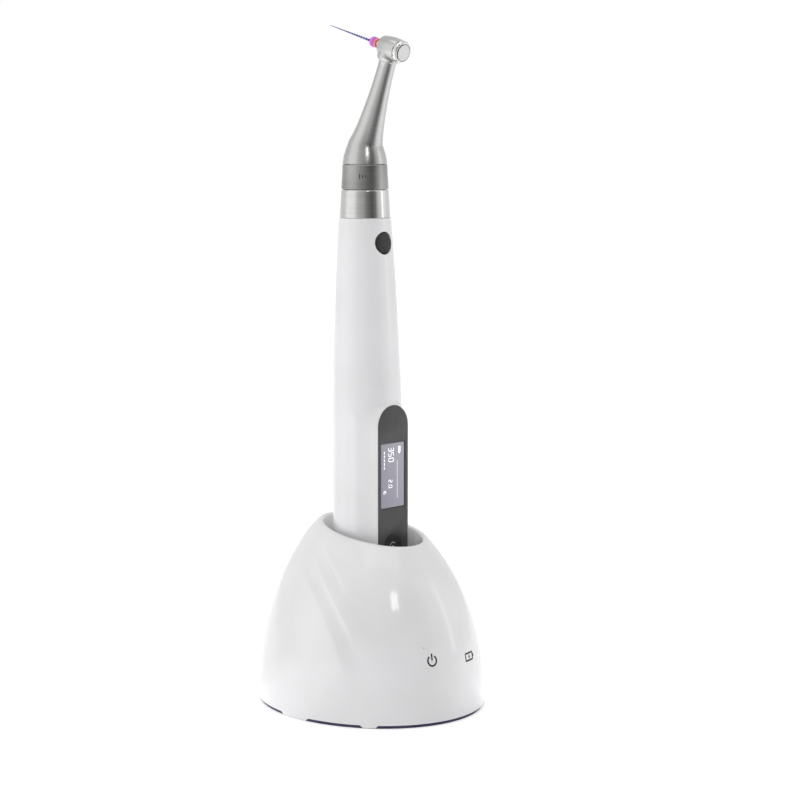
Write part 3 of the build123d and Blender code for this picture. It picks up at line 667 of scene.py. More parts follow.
def ridgeHeight(angle, z):
    total = np.zeros_like(z)
    degrees = np.degrees(np.abs((angle + pi) % (2 * pi) - pi))
    for ridge in ridges:
        down = np.maximum(ridge["top"] - z, 0)
        line = ridge["angle"] - ridge["sweep"] * (1 - np.exp(-down / ridge["fall"]))
        ahead = np.radians(line - degrees) * 28
        strength = smoothStep(down / 6) * smoothStep((z - ridge["end"]) / 16) * ridge["height"]
        if "steep" in ridge:
            behind = ridge["steep"] * smoothStep(down / 8) + 0.25
        else:
            behind = np.maximum(np.radians(ridge["angle"] + 1 - line) * 28, 0.3)
        rise = np.clip(1 + ahead / behind, 0, 1) ** 1.15
        fall = np.clip(1 - ahead / ridge["gentle"], 0, 1) ** 1.4
        total += strength * np.where(ahead < 0, rise, fall)
    return total


def domePoint(angle, z, inset=0.0, ridged=True):
    radius = domeMean * (1 - (z / dome["crown"]) ** dome["bend"]) ** dome["round"] - inset
    if ridged:
        aside = smoothStep((np.degrees(np.abs((angle + pi) % (2 * pi) - pi)) - 32) / 26)
        sunk = 0.3 * aside * smoothStep((z - 14) / 12) * smoothStep((58 - z) / 6)
        radius = radius + ridgeHeight(angle, z) - sunk
    centre = dome["lean"] * (z / 57) ** 3
    return np.stack([-(radius - domeSpread) * np.sin(angle), centre - (radius + domeSpread) * np.cos(angle),
                     z], -1)


def ellipseRow(angle, halfWidth, halfDepth, y, z):
    height = np.full_like(angle, z)
    return np.stack([-halfWidth * np.sin(angle), y - halfDepth * np.cos(angle), height], -1)


def rimHeight():
    radius = dome["mouthHalfWidth"] + dome["lip"] + domeSpread
    return dome["crown"] * (1 - (radius / domeMean) ** (1 / dome["round"])) ** (1 / dome["bend"])


def buildBase():
    slope = tan(radians(dome["rimTilt"]))
    level = rimHeight()
    angle = np.arange(dome["around"]) * 2 * pi / dome["around"]
    edge = np.full_like(angle, level)
    for _ in range(40):
        edge = level + slope * (domePoint(angle, edge, ridged=False)[:, 1] - dome["mouthY"])
    mouth = ellipseRow(angle, dome["mouthHalfWidth"], dome["mouthHalfDepth"], dome["mouthY"], level)
    mouth[:, 2] += slope * (mouth[:, 1] - dome["mouthY"])
    linerLow, linerHigh = boxOf("well_liner")
    wellY = (linerLow.y + linerHigh.y) / 2
    bore = Vector((linerHigh.x + 0.1, linerHigh.y - wellY + 0.1))
    funnel = ellipseRow(angle, bore.x - 1.7, bore.y - 1.7, wellY, dome["wellTop"])
    # the lower edge drops over the foot in small tabs and along both sides
    degrees = np.degrees(np.abs((angle + pi) % (2 * pi) - pi))
    mirrored = np.minimum(degrees, 180 - degrees)
    tab = np.maximum(smoothStep((4.4 - np.abs(mirrored - 49.4)) / 0.9), smoothStep((mirrored - 81) / 0.9))
    foot = dome["foot"] - 0.85 * tab
    rows = []
    for inset, height in ((0.86, dome["foot"]), (0.84, foot), (0.35, foot), (0.12, foot + 0.08),
                          (0.03, foot + 0.22)):
        rows.append(domePoint(angle, np.full_like(angle, 1.2), inset, ridged=False))
        rows[-1][:, 2] = height
    shoulder = edge - 1.1
    start = foot + 0.5
    for step in range(dome["rows"] + 1):
        rows.append(domePoint(angle, start + (shoulder - start) * step / dome["rows"]))
    # lip: a curve from the outside over the rim to the funnel
    inner = mouth + (funnel - mouth) * (1.1 / (mouth[:, 2:] - funnel[:, 2:]))
    corner = domePoint(angle, edge, ridged=False)
    last = rows[-1]
    for step in range(1, 13):
        t = step / 12
        rows.append(last * (1 - t) ** 3 + corner * 3 * t * (1 - t) ** 2 + mouth * 3 * t * t * (1 - t)
                    + inner * t ** 3)
    for step in range(1, 11):
        rows.append(inner + (funnel - inner) * step / 10)
    collar = bore + Vector((2, 2))
    top = level - 7
    for size, height in ((bore, dome["wellTop"]), (bore, 46), (bore, dome["collarBottom"]),
                         (collar, dome["collarBottom"]), (collar, 47), (collar, top)):
        rows.append(ellipseRow(angle, size.x, size.y, wellY, height))
    for step in range(25):
        height = top + (dome["foot"] - top) * (step / 24) ** 0.8
        rows.append(domePoint(angle, np.full_like(angle, height), dome["wall"], ridged=False))
    shell = ringed("baseShell", rows, finishes["white_plastic"], 40)
    cut(shell, rodCutter(dome["inletRadius"], 30, 50, levelOf("power_inlet"), inward))
    place(tidy(shell, 40), "base", "white_plastic", "base_shell")


# Prints an outline on the dome: a thin skin that follows it
def dressed(name, outlines, turn, height, material):
    skin = plate(name, outlines, 0.06, 0.01, material)
    bmeshShape = bmesh.new()
    bmeshShape.from_mesh(skin.data)
    bmesh.ops.triangulate(bmeshShape, faces=bmeshShape.faces)
    bmesh.ops.subdivide_edges(bmeshShape, edges=[e for e in bmeshShape.edges if e.calc_length() > 0.6 * mm],
                              cuts=2)
    for vertex in bmeshShape.verts:
        x, y, lift = vertex.co / mm
        z = np.array([height + y])
        radius = domeMean * (1 - (z / dome["crown"]) ** dome["bend"]) ** dome["round"]
        angle = np.array([radians(turn)]) - x / radius
        point = domePoint(angle, z)[0]
        outward = Vector((point[0], point[1], 6)).normalized()
        vertex.co = (Vector(point) + outward * (0.012 + lift)) * mm
    bmeshShape.to_mesh(skin.data)
    bmeshShape.free()
    return tidy(skin)


def arc(inner, outer, start, end, x=0.0, y=0.0, steps=30):
    angles = [radians(start + (end - start) * step / steps) for step in range(steps + 1)]
    return ([(x + outer * cos(a), y + outer * sin(a)) for a in angles]
            + [(x + inner * cos(a), y + inner * sin(a)) for a in reversed(angles)])


symbols = {"powerTurn": 15.6, "powerHeight": 21.7, "chargeTurn": -13.0, "chargeHeight": 20.2, "size": 1.95,
           "line": 0.55}


def buildSymbols():
    size = symbols["size"]
    line = symbols["line"]
    power = [dressed("powerRing", [arc(size - line, size, 125, 415)], symbols["powerTurn"],
                     symbols["powerHeight"], inkBlack),
             dressed("powerBar", [rectangle(line, size * 1.15, 0, size * 0.62)], symbols["powerTurn"],
                     symbols["powerHeight"], inkBlack)]
    place(joined("powerSymbol", power), "base", "key_black")
    half = size * 1.38
    bolt = [(0.35, 0.95), (-0.75, -0.1), (-0.08, -0.1), (-0.35, -0.95), (0.75, 0.1), (0.08, 0.1)]
    charge = [dressed("cellCase", [rectangle(2 * half, size * 1.5, 0, 0, 0.3),
                                   rectangle(2 * half - 2 * line, size * 1.5 - 2 * line, 0, 0, 0.15)],
                      symbols["chargeTurn"], symbols["chargeHeight"], inkBlack),
              dressed("cellTip", [rectangle(line, size * 0.6, half + line * 0.8, 0)], symbols["chargeTurn"],
                      symbols["chargeHeight"], inkBlack),
              dressed("cellBolt", [bolt], symbols["chargeTurn"], symbols["chargeHeight"], inkBlack)]
    place(joined("chargeSymbol", charge), "base", "key_black")


grip = {"wall": 1.5, "around": 260, "rows": 300, "slope": 29.0, "blend": 1.6, "rimRound": 0.35,
        "panelHalf": 7.2, "rim": 0.25, "ledge": 0.8, "glassDepth": 1.25, "margin": 0.05, "edge": 0.12,
        "buttonHole": 3.85, "socketHole": 2.5}
shellZ = [value.z for value in boxOf("handpiece_shell")]
panelLow, panelHigh = boxOf("display_lens")
panelY = panelLow.y - 0.03
gripTop = 54.0
tailRadius = 12.2
tailY = 1.0
noseRadius = 8.75
# share of the height above the straight grip, share of the flare that is left, share of the lean
stations = np.array(((0, 1, 0), (0.12, 0.995, 0.03), (0.23, 0.971, 0.1), (0.44, 0.878, 0.25),
                     (0.66, 0.646, 0.6), (0.87, 0.284, 0.84), (1, 0, 1)))


# Smooth curve through the stations, level where it leaves the straight grip
def along(z, column):
    share = np.clip((z - gripTop) / (shellZ[1] - gripTop), 0, 1)
    knots, values = stations[:, 0], stations[:, column]
    slopes = np.gradient(values, knots)
    slopes[0] = 0
    index = np.clip(np.searchsorted(knots, share, side="right") - 1, 0, len(knots) - 2)
    width = knots[index + 1] - knots[index]
    t = (share - knots[index]) / width
    return (values[index] * (1 + 2 * t) * (1 - t) ** 2 + slopes[index] * width * t * (1 - t) ** 2
            + values[index + 1] * t * t * (3 - 2 * t) + slopes[index + 1] * width * t * t * (t - 1))


def caseRadius(z):
    return noseRadius + (tailRadius - noseRadius) * along(z, 1)


def caseCentre(z):
    return tailY + (noseAt.y - tailY) * along(z, 2)


# How far a point lies outside the console's outline, seen from the front
def consoleGap(x, z):
    half = grip["panelHalf"]
    top = panelHigh.z + grip["margin"] - half
    bottom = panelLow.z - grip["margin"] + half
    return np.hypot(x, np.maximum(np.maximum(z - top, bottom - z), 0)) - half - grip["rim"]


# How far the display console reaches from the case's axis in a direction, found by halving
def consoleReach(angle, z, centre):
    slope = tan(radians(grip["slope"]))
    soft = grip["rimRound"]
    near = np.zeros_like(z)
    far = np.full_like(z, 30.0)
    for _ in range(34):
        reach = (near + far) / 2
        gap = consoleGap(reach * np.sin(angle), z)
        front = panelY + np.where(gap > 0, gap / slope, 0) + soft * 0.35 * smoothStep((gap + soft) / soft)
        outside = (centre - reach * np.cos(angle) < front) | (np.cos(angle) < 0.05)
        far = np.where(outside, reach, far)
        near = np.where(outside, near, reach)
    return near


def gripRows(inset):
    low, high = shellZ
    t = np.arange(grip["around"]) / grip["around"]
    angle = 2 * pi * t - 0.62 * np.sin(2 * pi * t)
    rows = []
    count = grip["rows"] if inset == 0 else 24
    for step in range(count + 1):
        z = np.full_like(angle, low + (high - low) * step / count)
        centre = caseCentre(z)
        radius = caseRadius(z) - inset
        if inset == 0:
            reach = consoleReach(angle, z, centre)
            blend = grip["blend"]
            lap = np.clip(0.5 + 0.5 * (reach - radius) / blend, 0, 1)
            lap = lap * smoothStep((np.cos(angle) - 0.25) / 0.3)
            # the panel's plane stays flat, and only the console's sides run softly into the round case
            radius = radius * (1 - lap) + reach * lap + 0.55 * blend * lap * (1 - lap)
            flat = (centre - panelY) / np.maximum(np.cos(angle), 0.05)
            inside = (consoleGap(flat * np.sin(angle), z) < 0) & (np.cos(angle) > 0.3)
            radius = np.where(inside, np.minimum(radius, flat), radius)
        rows.append(np.stack([-radius * np.sin(angle), centre - radius * np.cos(angle), z], -1))
    return rows


def windowCutter(halfWidth, front, back, top, bottom):
    cutter = plate("cutter", [slotOutline(halfWidth, top, bottom, 48)], back - front, 0,
                   finishes["black_plastic"])
    return faceFront(cutter, (front + back) / 2)


# A row drawn in a little towards an axis
def drawnIn(row, y, radius):
    result = row.copy()
    share = 1 - grip["edge"] / radius
    result[:, 0] *= share
    result[:, 1] = y + (result[:, 1] - y) * share
    return result


def buildGrip():
    outer = gripRows(0)
    inner = gripRows(grip["wall"])
    outer[0][:, :2] = outer[1][:, :2]
    first = drawnIn(outer[0], tailY, tailRadius)
    outer[0][:, 2] += grip["edge"]
    last = drawnIn(outer[-1], noseAt.y, noseRadius)
    outer[-1][:, 2] -= grip["edge"]
    shell = ringed("handpieceShell", [first] + outer + [last] + inner[::-1], finishes["white_plastic"], 28)
    top, bottom = panelHigh.z + grip["margin"], panelLow.z - grip["margin"]
    cut(shell, windowCutter(grip["panelHalf"], panelY - 6, panelY + grip["glassDepth"], top, bottom))
    cut(shell, windowCutter(grip["panelHalf"] - grip["ledge"], panelY - 2, tailY - 6, top - grip["ledge"],
                            bottom + grip["ledge"]))
    cut(shell, rodCutter(grip["buttonHole"], -15, 0, levelOf("power_button"), inward))
    cut(shell, rodCutter(grip["socketHole"], 5, 15, levelOf("lead_socket"), inward))
    place(tidy(shell, 28), "handpiece", "white_plastic", "handpiece_shell")
    cap = lathe("tailCap", [(0, 14), (9.2, 14, 0.4), (9.2, 24), (10.6, 24), (10.6, 20), (12.08, 20, 0.12),
                            (12.2, 19.8), (12.2, 15, 2), (11.3, 12.9, 2), (9.2, 12, 1.5), (0, 12)],
                finishes["white_plastic"], Vector((0, tailY, 0)))
    for side in (-1, 1):
        cut(cap, rodCutter(1.6, 10, 16, Vector((side * 4, tailY, 0))))
        cut(cap, rodCutter(2.2, 12.6, 15, Vector((side * 4, tailY, 0))))
    place(tidy(cap), "handpiece", "white_plastic", "tail_cap")


display = {"windowWidth": 11.0, "windowHeight": 22.0, "recess": 0.18, "keyHole": 4.1, "edge": 0.12}


def buildDisplay():
    screenZ = levelOf("lcd_module").z
    outlines = [slotOutline(grip["panelHalf"] - 0.05, panelHigh.z, panelLow.z, 48),
                rectangle(display["windowWidth"] + 0.3, display["windowHeight"] + 0.3, 0, screenZ, 0.3)]
    outlines += [circle(display["keyHole"], 0, levelOf(key).z) for key in ("set_key", "mode_key")]
    thick = panelHigh.y - panelLow.y
    panel = plate("displayPanel", outlines, thick, display["edge"], finishes["panel_black"])
    faceFront(panel, (panelLow.y + panelHigh.y) / 2)
    place(panel, "handpiece", "panel_black", "display_lens")
    window = rectangle(display["windowWidth"], display["windowHeight"], 0, screenZ, 0.25)
    glass = plate("screenGlass", [window], thick - display["recess"] - 0.05, 0.08, finishes["lcd_glass"])
    glassFront = panelLow.y + display["recess"]
    faceFront(glass, (glassFront + panelHigh.y - 0.05) / 2)
    place(glass, "handpiece", "lcd_glass")
    buildScreenMarks(screenZ, glassFront)


# Segments of a digit, in a cell one wide and two high: x, y and whether it lies flat
segments = {"a": (0.5, 2, 1), "b": (1, 1.5, 0), "c": (1, 0.5, 0), "d": (0.5, 0, 1), "e": (0, 0.5, 0),
            "f": (0, 1.5, 0), "g": (0.5, 1, 1)}
digits = {"0": "abcdef", "1": "bc", "2": "abged", "3": "abgcd", "4": "fgbc", "5": "afgcd", "6": "afgedc",
          "7": "abc", "8": "abcdefg", "9": "abcdfg"}


# Strokes of a number, read from the top of the screen downwards
def numberStrokes(text, x, z, size, line):
    strokes = []
    pen = 0.0
    for character in text:
        if character == ".":
            strokes.append((line * 1.3, line * 1.3, x, z - pen - line))
            pen += 3 * line
            continue
        for segment in digits[character]:
            beside, upward, flat = segments[segment]
            wide, tall = (line, size * 0.86) if flat else (size * 0.86, line)
            strokes.append((wide, tall, x + upward * size, z - pen - beside * size))
        pen += size * 1.55
    return strokes


def buildScreenMarks(screenZ, glassFront):
    top = screenZ + display["windowHeight"] / 2
    strokes = numberStrokes("350", -1.9, top - 1.5, 1.15, 0.26)
    strokes += numberStrokes("2.0", -1.9, top - 12.5, 0.8, 0.2)
    strokes += numberStrokes("16", -4.4, top - 15.5, 0.6, 0.16)
    strokes += [(1.0, 2.2, 3.2, top - 2.4), (0.4, 0.3, 3.2, top - 3.7)]
    strokes += [(0.1, 13, 2.2, top - 12.5)]
    strokes += [(0.35, 0.9, -4.0, top - 3 - 1.3 * step) for step in range(5)]
    marks = [faceFront(plate("stroke", [rectangle(wide, tall, x, z, 0.05)], 0.03, 0.004, screenWhite),
                       glassFront - 0.016)
             for wide, tall, x, z in strokes]
    place(joined("screenMarks", marks), "handpiece", "lcd_glass")


def keyOutline(radius, front, back, flange, dish):
    return [(0, front + dish, 0), (radius * 0.55, front + dish * 0.72, 0.6),
            (radius * 0.86, front + 0.02, 0.3), (radius, front, 0.18), (radius, flange, 0.02),
            (radius + 0.6, flange, 0.05), (radius + 0.6, back, 0.05), (0, back, 0)]


def buildKeys():
    for node, name in (("set_key", "setKey"), ("mode_key", "modeKey")):
        low, high = boxOf(node)
        at = levelOf(node)
        key = lathe(name, keyOutline(4.0, low.y, high.y, high.y - 0.5, 0.34), finishes["key_black"], at,
                    inward)
        place(key, node, "key_black", node)
        if node == "set_key":
            marks = [plate("keyRing", [arc(1.25, 1.55, 40, 320, 0, at.z)], 0.05, 0.008, inkGrey),
                     plate("keyDot", [circle(0.38, 0, at.z)], 0.05, 0.008, inkGrey)]
        else:
            bars = [rectangle(0.3, 1.6, side * 0.7, at.z, 0.1) for side in (-1, 1)]
            marks = [plate("keyBar", [bar], 0.05, 0.008, inkGrey) for bar in bars]
        marks = [faceFront(mark, low.y + 0.27) for mark in marks]
        place(joined(name + "Mark", marks), node, "key_black")


button = {"rings": 5, "perRing": 18, "spacing": 0.56, "pip": 0.15, "dome": 0.3}


# Small pips in rings, spread over a disc by a node tree
def pipTree(material):
    tree = bpy.data.node_groups.new("pipRings", "GeometryNodeTree")
    for label, kind, value in (("Rings", "NodeSocketInt", 5), ("Spacing", floatSocket, 0.0006),
                               ("Pip Size", floatSocket, 0.0002)):
        socket = tree.interface.new_socket(name=label, in_out="INPUT", socket_type=kind)
        socket.default_value = value
    tree.interface.new_socket(name="Geometry", in_out="OUTPUT", socket_type="NodeSocketGeometry")
    given = tree.nodes.new("NodeGroupInput").outputs
    sink = tree.nodes.new("NodeGroupOutput")
    index = tree.nodes.new("GeometryNodeInputIndex").outputs[0]
    growth = maths(tree, "MULTIPLY_ADD", index, given["Spacing"], given["Spacing"])
    turn = added(tree, "ShaderNodeCombineXYZ", Z=maths(tree, "MULTIPLY", index, pi / button["perRing"]))
    line = added(tree, "GeometryNodeMeshLine", Count=given["Rings"], Offset=(0, 0, 0))
    ring = added(tree, "GeometryNodeMeshCircle", Vertices=button["perRing"], Radius=1)
    rings = added(tree, "GeometryNodeInstanceOnPoints", Points=line.outputs["Mesh"],
                  Instance=ring.outputs["Mesh"], Rotation=turn.outputs["Vector"], Scale=growth)
    spread = added(tree, "GeometryNodeRealizeInstances", Geometry=rings.outputs["Instances"])
    pip = added(tree, "GeometryNodeMeshIcoSphere", Subdivisions=2, Radius=given["Pip Size"])
    pips = added(tree, "GeometryNodeInstanceOnPoints", Points=spread.outputs["Geometry"],
                 Instance=pip.outputs["Mesh"])
    real = added(tree, "GeometryNodeRealizeInstances", Geometry=pips.outputs["Instances"])
    paint = added(tree, "GeometryNodeSetMaterial", Geometry=real.outputs["Geometry"], Material=material)
    put(tree, sink.inputs["Geometry"], paint.outputs["Geometry"])
    return tree


def buildButton():
    low, high = boxOf("power_button")
    at = levelOf("power_button")
    radius = high.x - 0.6
    outline = [(0, low.y, 0), (radius * 0.5, low.y + 0.03, 0.8),
               (radius * 0.86, low.y + button["dome"] * 0.5, 0.6),
               (radius, low.y + button["dome"] + 0.35, 0.25), (radius, high.y - 0.5, 0.02),
               (radius + 0.6, high.y - 0.5, 0.05), (radius + 0.6, high.y, 0.05), (0, high.y, 0)]
    cap = lathe("powerButton", outline, finishes["key_black"], at, inward)
    place(cap, "power_button", "key_black", "power_button")
    pips = newPiece("buttonPips", [(0, 0, 0)], [], finishes["key_black"])
    modifier = pips.modifiers.new("pips", "NODES")
    modifier.node_group = pipTree(finishes["key_black"])
    values = {"Rings": button["rings"], "Spacing": button["spacing"] * mm, "Pip Size": button["pip"] * mm}
    for item in modifier.node_group.interface.items_tree:
        if item.in_out == "INPUT" and item.name in values:
            modifier[item.identifier] = values[item.name]
    settle(pips)
    shape = bmesh.new()
    shape.from_mesh(pips.data)
    for vertex in shape.verts:
        x, y, z = vertex.co / mm
        sag = button["dome"] * 1.2 * (np.hypot(x, y) / radius) ** 3
        vertex.co = Vector((x, low.y + 0.07 + sag - z * 0.5, at.z + y)) * mm
    shape.to_mesh(pips.data)
    shape.free()
    place(tidy(pips, 60), "power_button", "key_black")


collar = {"step": 175.7}


def buildCollar():
    low, high = boxOf("nose_collar")
    foot = shellZ[1]
    step = collar["step"]
    outline = [(7.15, low.z), (7.15, foot + 0.02, 0), (8.3, foot + 0.02, 0.05), (8.45, foot + 0.15, 0.1),
               (8.43, foot + 1.2, 2), (8.02, step - 0.5, 0.5), (7.8, step - 0.05, 0.1),
               (5.5, step - 0.02, 0.1), (5.5, high.z - 1.6, 0.02), (5.15, high.z - 1.6, 0.02),
               (5.15, high.z - 0.7, 0.02), (5.5, high.z - 0.7, 0.02), (5.5, high.z, 0.3),
               (3.2, high.z, 0.1), (3.2, foot + 3.8, 0.02), (3.6, foot + 3.8, 0.02), (3.6, low.z, 0.1)]
    place(lathe("noseCollar", outline, finishes["polished_steel"], around=192), "handpiece",
          "polished_steel", "nose_collar")


band = {"web": 181.4, "ticks": 3, "tickTurn": -58, "tickStep": 7.5, "tickHeight": 180.2}


def buildBand():
    low, high = boxOf("ratio_sleeve")
    web = band["web"]
    outline = [(6.45, low.z, 0.1), (7.75, low.z, 0.05), (7.98, low.z + 0.25, 0.12), (7.7, low.z + 4.5, 3),
               (7.57, high.z - 0.35, 0.3), (7.42, high.z - 0.12, 0.05), (6.1, high.z - 0.12, 0.05),
               (6.1, 182.2, 0.05), (2.0, 182.2, 0.05), (2.0, web, 0.05), (6.45, web, 0.1)]
    sleeve = lathe("ratioBand", outline, bandSteel, around=192)
    place(sleeve, "contra_angle", "satin_steel", "ratio_sleeve")
    # a plain setting mark: a bar and shrinking dots, sunk colour on the band
    marks = []
    for number in range(band["ticks"]):
        tall = 1.5 - 0.45 * number
        marks.append(wrapped("tick", [rectangle(0.32, tall, 0, 0, 0.08)],
                             band["tickTurn"] + band["tickStep"] * number, band["tickHeight"], low.z))
    place(joined("settingMark", marks), "contra_angle", "key_black")


# Lays a thin plate round the band
def wrapped(name, outlines, turn, height, low):
    skin = plate(name, outlines, 0.03, 0.004, inkBlack)
    for vertex in skin.data.vertices:
        x, y, lift = vertex.co / mm
        z = height + y
        rise = z - low - 4.5
        radius = 7.98 - 0.28 * (z - low - 0.25) / 4.25 + 0.02 if rise < 0 else 7.72 - 0.13 * rise / 3.6
        angle = radians(turn) + x / radius
        reach = radius + 0.006 + lift
        vertex.co = Vector((reach * sin(angle), noseAt.y - reach * cos(angle), z)) * mm
    return tidy(skin)


neckShape = ((5.99, 0.95), (5.6, 2.3), (5.24, 3.7), (4.8, 5.9), (4.48, 8.0), (4.2, 10.2), (3.97, 12.3),
             (3.7, 14.9), (3.42, 17.8), (3.2, 20.7), (3.04, 23.6), (2.93, 26.5), (2.87, 29.0), (2.9, 30.4),
             (3.08, 31.3), (3.45, 32.0), (3.6, 33.0))


def buildHead():
    steel = finishes["satin_steel"]
    top = boxOf("ratio_sleeve")[1].z
    shoulder = lathe("headBody", [(0, top, 0), (7.35, top, 0.05), (7.55, top + 0.15, 0.1),
                                  (7.14, top + 2.7, 3), (6.55, top + 4.7, 3), (5.9, top + 6.5, 3),
                                  (5.2, top + 8.1, 0.3), (0, top + 8.8, 0)],
                     steel, around=192, sharp=30)
    taper = [(radius, reach, 0) for radius, reach in neckShape]
    neck = lathe("neck", [(0, 0.95, 0)] + taper + [(0, 33.0, 0)], steel, kneeAt, neckAxis, around=192)
    barrel = lathe("barrel", [(0, -4.19, 0), (3.66, -4.19, 0.04), (3.77, -4.05, 0.08), (3.92, -2.2, 2),
                              (3.92, -0.25, 2), (3.59, 2.5, 2), (3.4, 3.5, 0.3), (3.05, 3.82, 0.3),
                              (0, 3.82, 0)], steel, headAt, headAxis, around=192)
    boss = lathe("boss", [(0, -1.2, 0), (3.62, -1.2, 0.05), (3.96, -2.8, 0.8), (4.0, -3.15, 0.3),
                          (3.7, -4.0, 0.3), (3.2, -4.55, 0.2), (2.6, -4.6, 0.1), (0, -4.6, 0)], steel,
                 headAt, neckAxis, around=192)
    unite(shoulder, neck)
    unite(shoulder, boss)
    unite(shoulder, barrel)
    cavities = ((6.1, 184, 185.1, noseAt, upright), (5.2, 184.5, 187.2, noseAt, upright),
                (3.9, -3, 2.4, kneeAt, neckAxis), (1.6, 2, 35, kneeAt, neckAxis),
                (3.35, -5, -1.5, headAt, headAxis), (3.0, -2, 2.73, headAt, headAxis),
                (1.85, 0, 5, headAt, headAxis))
    for radius, start, end, origin, axis in cavities:
        cut(shoulder, rodCutter(radius, start, end, origin, axis))
    place(tidy(shoulder, 24), "contra_angle", "satin_steel", "head_body")


cap = {"slots": 10, "slotWidth": 0.75, "slotDepth": 0.32}


def buildCap():
    outline = [(3.35, -4.21, 0.02), (3.62, -4.21, 0.02), (3.66, -4.34, 0.03), (3.77, -4.42, 0.08),
               (3.77, -5.0, 0.12), (3.62, -5.45, 0.1), (3.3, -5.88, 0.1), (3.02, -5.88, 0.06),
               (3.02, -4.92, 0.05), (3.35, -4.92, 0.02)]
    ring = lathe("headCap", outline, finishes["polished_steel"], headAt, headAxis, around=192)
    side, up = across(headAxis)
    # slots for the wrench round its front edge
    for number in range(cap["slots"]):
        angle = 2 * pi * (number + 0.5) / cap["slots"]
        outward = side * cos(angle) + up * sin(angle)
        middle = headAt + outward * (3.48 + 1) + headAxis * -4.4
        tall = headAxis * cap["slotDepth"]
        wide = outward.cross(headAxis).normalized() * cap["slotWidth"] / 2
        corners = [(a, b, c) for a in (-1, 1) for b in (-1, 1) for c in (-1, 1)]
        points = [(middle + outward * a + tall * b + wide * c) * mm for a, b, c in corners]
        faces = [(0, 1, 3, 2), (4, 6, 7, 5), (0, 4, 5, 1), (2, 3, 7, 6), (0, 2, 6, 4), (1, 5, 7, 3)]
        cut(ring, tidy(newPiece("slot", points, faces, finishes["polished_steel"])))
    place(tidy(ring, 25), "contra_angle", "polished_steel", "head_cap")
    face = lathe("headButton", [(0, -6.1, 0), (2.66, -6.1, 0.04), (2.74, -6.0, 0.06), (2.74, -5.86, 0.03),
                                (2.58, -5.8, 0.03), (2.58, -4.9, 0.02), (3.24, -4.89, 0.05),
                                (3.24, -4.41, 0.05), (1.0, -4.4, 0.05), (1.0, -3.75, 0.1), (0, -3.75, 0)],
                 finishes["satin_steel"], headAt, headAxis)
    place(face, "head_button", "polished_steel", "head_button")


spring = {"coil": 2.95, "wire": 0.15, "turns": 2.5, "back": -4.38, "seat": -3.0, "keep": 0.48, "steps": 120,
          "around": 12}


# Coil spring under the head's button, which shortens as the button goes in
def buildSpring():
    side, up = across(headAxis)
    wire = spring["wire"]
    start, end = spring["back"] + wire, spring["seat"] - wire
    rows = []
    middles = []
    for step in range(spring["steps"] + 1):
        share = step / spring["steps"]
        angle = 2 * pi * spring["turns"] * share
        outward = side * cos(angle) + up * sin(angle)
        middle = headAt + headAxis * (start + (end - start) * share) + outward * spring["coil"]
        middles.append(middle)
        rows.append([tuple(middle + (outward * cos(turn) + headAxis * sin(turn)) * wire)
                     for turn in (2 * pi * corner / spring["around"] for corner in range(spring["around"]))])
    ends = [[tuple(middles[-1])] * spring["around"], [tuple(middles[0])] * spring["around"]]
    coil = ringed("buttonSpring", rows + ends, finishes["bearing_steel"])
    place(coil, "contra_angle", "bearing_steel", "button_spring")
    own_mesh(coil)


blade = {"foot": 5.3, "start": 10.2, "stem": 0.4, "widest": 0.52, "tip": 0.13, "pitch": 2.6,
         "tipPitch": 1.5, "rows": 420, "around": 24}


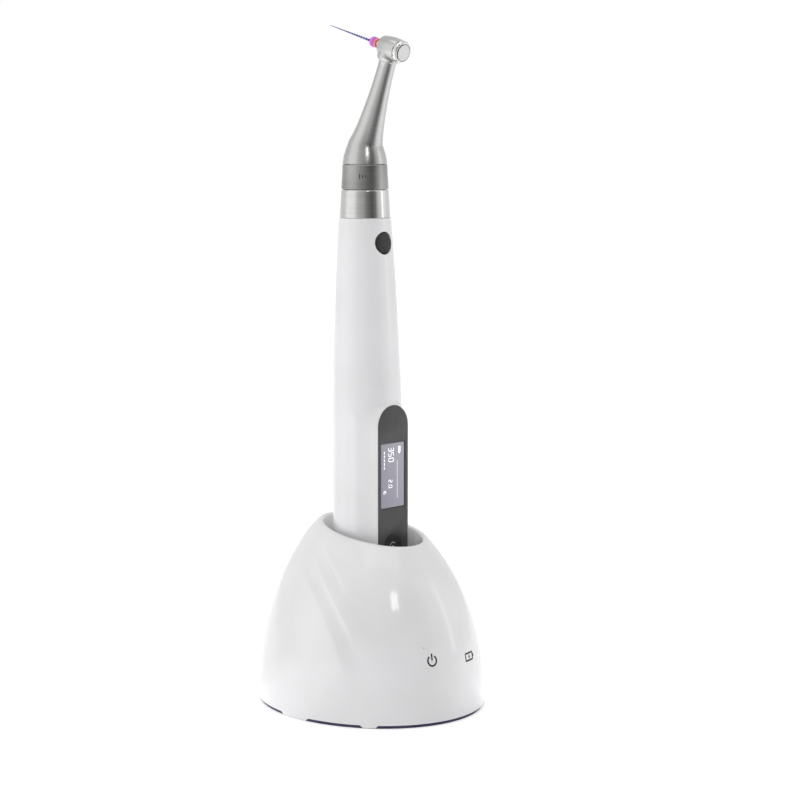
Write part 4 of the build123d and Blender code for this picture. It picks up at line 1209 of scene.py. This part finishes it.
def buildFile():
    foot = blade["foot"]
    shank = lathe("fileShank", [(0, -2.2, 0), (1.1, -2.2, 0.1), (1.175, -2.05, 0.05), (1.175, 7.2, 0.1),
                                (1.0, 7.4, 0.05), (0.4, 7.4, 0.03), (0.4, foot, 0), (0, foot, 0)],
                  finishes["contact_gold"], headAt, headAxis, around=96)
    place(shank, "file", "contact_gold", "file_shank")
    ring = lathe("fileRing", [(1.175, 6.22, 0.05), (1.55, 6.22, 0.1), (1.65, 6.4, 0.15), (1.65, 7.1, 0.15),
                              (1.5, 7.28, 0.1), (1.175, 7.28, 0.05)], finishes["ring_pink"], headAt,
                 headAxis, around=96)
    place(ring, "file", "ring_pink", "file_ring")
    stop = lathe("fileStop", [(0.56, 7.42, 0.05), (1.1, 7.42, 0.15), (1.5, 7.5, 0.3), (1.75, 7.9, 0.3),
                              (1.72, 8.8, 0.4), (1.3, 9.45, 0.35), (0.56, 9.5, 0.08)],
                 finishes["stop_purple"], headAt, headAxis, around=96)
    place(stop, "file_stop", "stop_purple", "file_stop")
    length = (boxOf("file_blade")[1].y - headAt.y) / headAxis.y
    side, up = across(headAxis)
    rows = []
    turn = 0.0
    for row in range(blade["rows"] + 1):
        at = foot + (length - foot) * row / blade["rows"]
        share = np.clip((at - blade["start"]) / (length - blade["start"]), 0, 1)
        taper = blade["widest"] + (blade["tip"] - blade["widest"]) * share ** 0.9
        core = blade["stem"] if at < blade["start"] else taper
        if at > blade["start"]:
            pitch = blade["pitch"] + (blade["tipPitch"] - blade["pitch"]) * share
            turn += 2 * pi * (length - foot) / blade["rows"] / pitch
        depth = smoothStep((at - blade["start"]) / 1.2) * 0.55
        point = smoothStep((length - at) / 0.35) * 0.9 + 0.1
        ring = []
        for step in range(blade["around"]):
            angle = 2 * pi * step / blade["around"]
            flute = (0.5 + 0.5 * cos(2 * (angle - turn))) ** 0.7
            radius = core * point * (1 - depth * (1 - flute) * 1.35)
            ring.append(tuple(headAt + headAxis * at + (side * cos(angle) + up * sin(angle)) * radius))
        rows.append(ring)
    middle = [[tuple(headAt + headAxis * at)] * blade["around"] for at in (length, foot)]
    piece = ringed("fileBlade", rows + middle, finishes["file_blue"], 50)
    place(piece, "file", "file_blue", "file_blade")


def buildFloor():
    size, steps = studio["floorSize"], studio["floorSteps"]
    shares = [step / steps - 0.5 for step in range(steps + 1)]
    points = [(x * size, y * size, -0.00002) for y in shares for x in shares]
    corners = [row * (steps + 1) + column for row in range(steps) for column in range(steps)]
    faces = [(corner, corner + 1, corner + steps + 2, corner + steps + 1) for corner in corners]
    made = Finish("paleFloor", Emission_Strength=studio["floorGlow"])
    cloud = made.grain(Vector=made.place, Scale=6, Detail=2, Low=0.55, High=0.7)
    tone = studio["floor"]
    pale = made.shade(cloud["Mask"], tuple(channel - 0.01 for channel in tone), tone)
    # shiny pieces see the floor shaded like the surroundings beyond it
    facing = made.stretched((1, 1, 1), (0, 0, radians(90 - view["turn"])))
    sweep = made.add("ShaderNodeTexGradient", Vector=facing)
    sweep.gradient_type = "RADIAL"
    rays = made.add("ShaderNodeLightPath")
    seen = made.mix(rays.outputs["Is Glossy Ray"], (1.0, 1.0, 1.0),
                    horizonRamp(made.tree, sweep.outputs["Fac"]))
    made.finish(mixed(made.tree, 1, pale, seen, "MULTIPLY"), cloud["Roughness"])
    made.set("Emission Color", seen)
    newPiece("floor", points, faces, made.material)


buildCamera()
buildStudio()
buildFloor()
print("studio ready")
buildBase()
buildSymbols()
print("base built")
buildGrip()
buildDisplay()
buildKeys()
buildButton()
print("handpiece built")
buildCollar()
buildBand()
buildHead()
buildCap()
buildSpring()
print("contra-angle built")
buildFile()
print("file built")
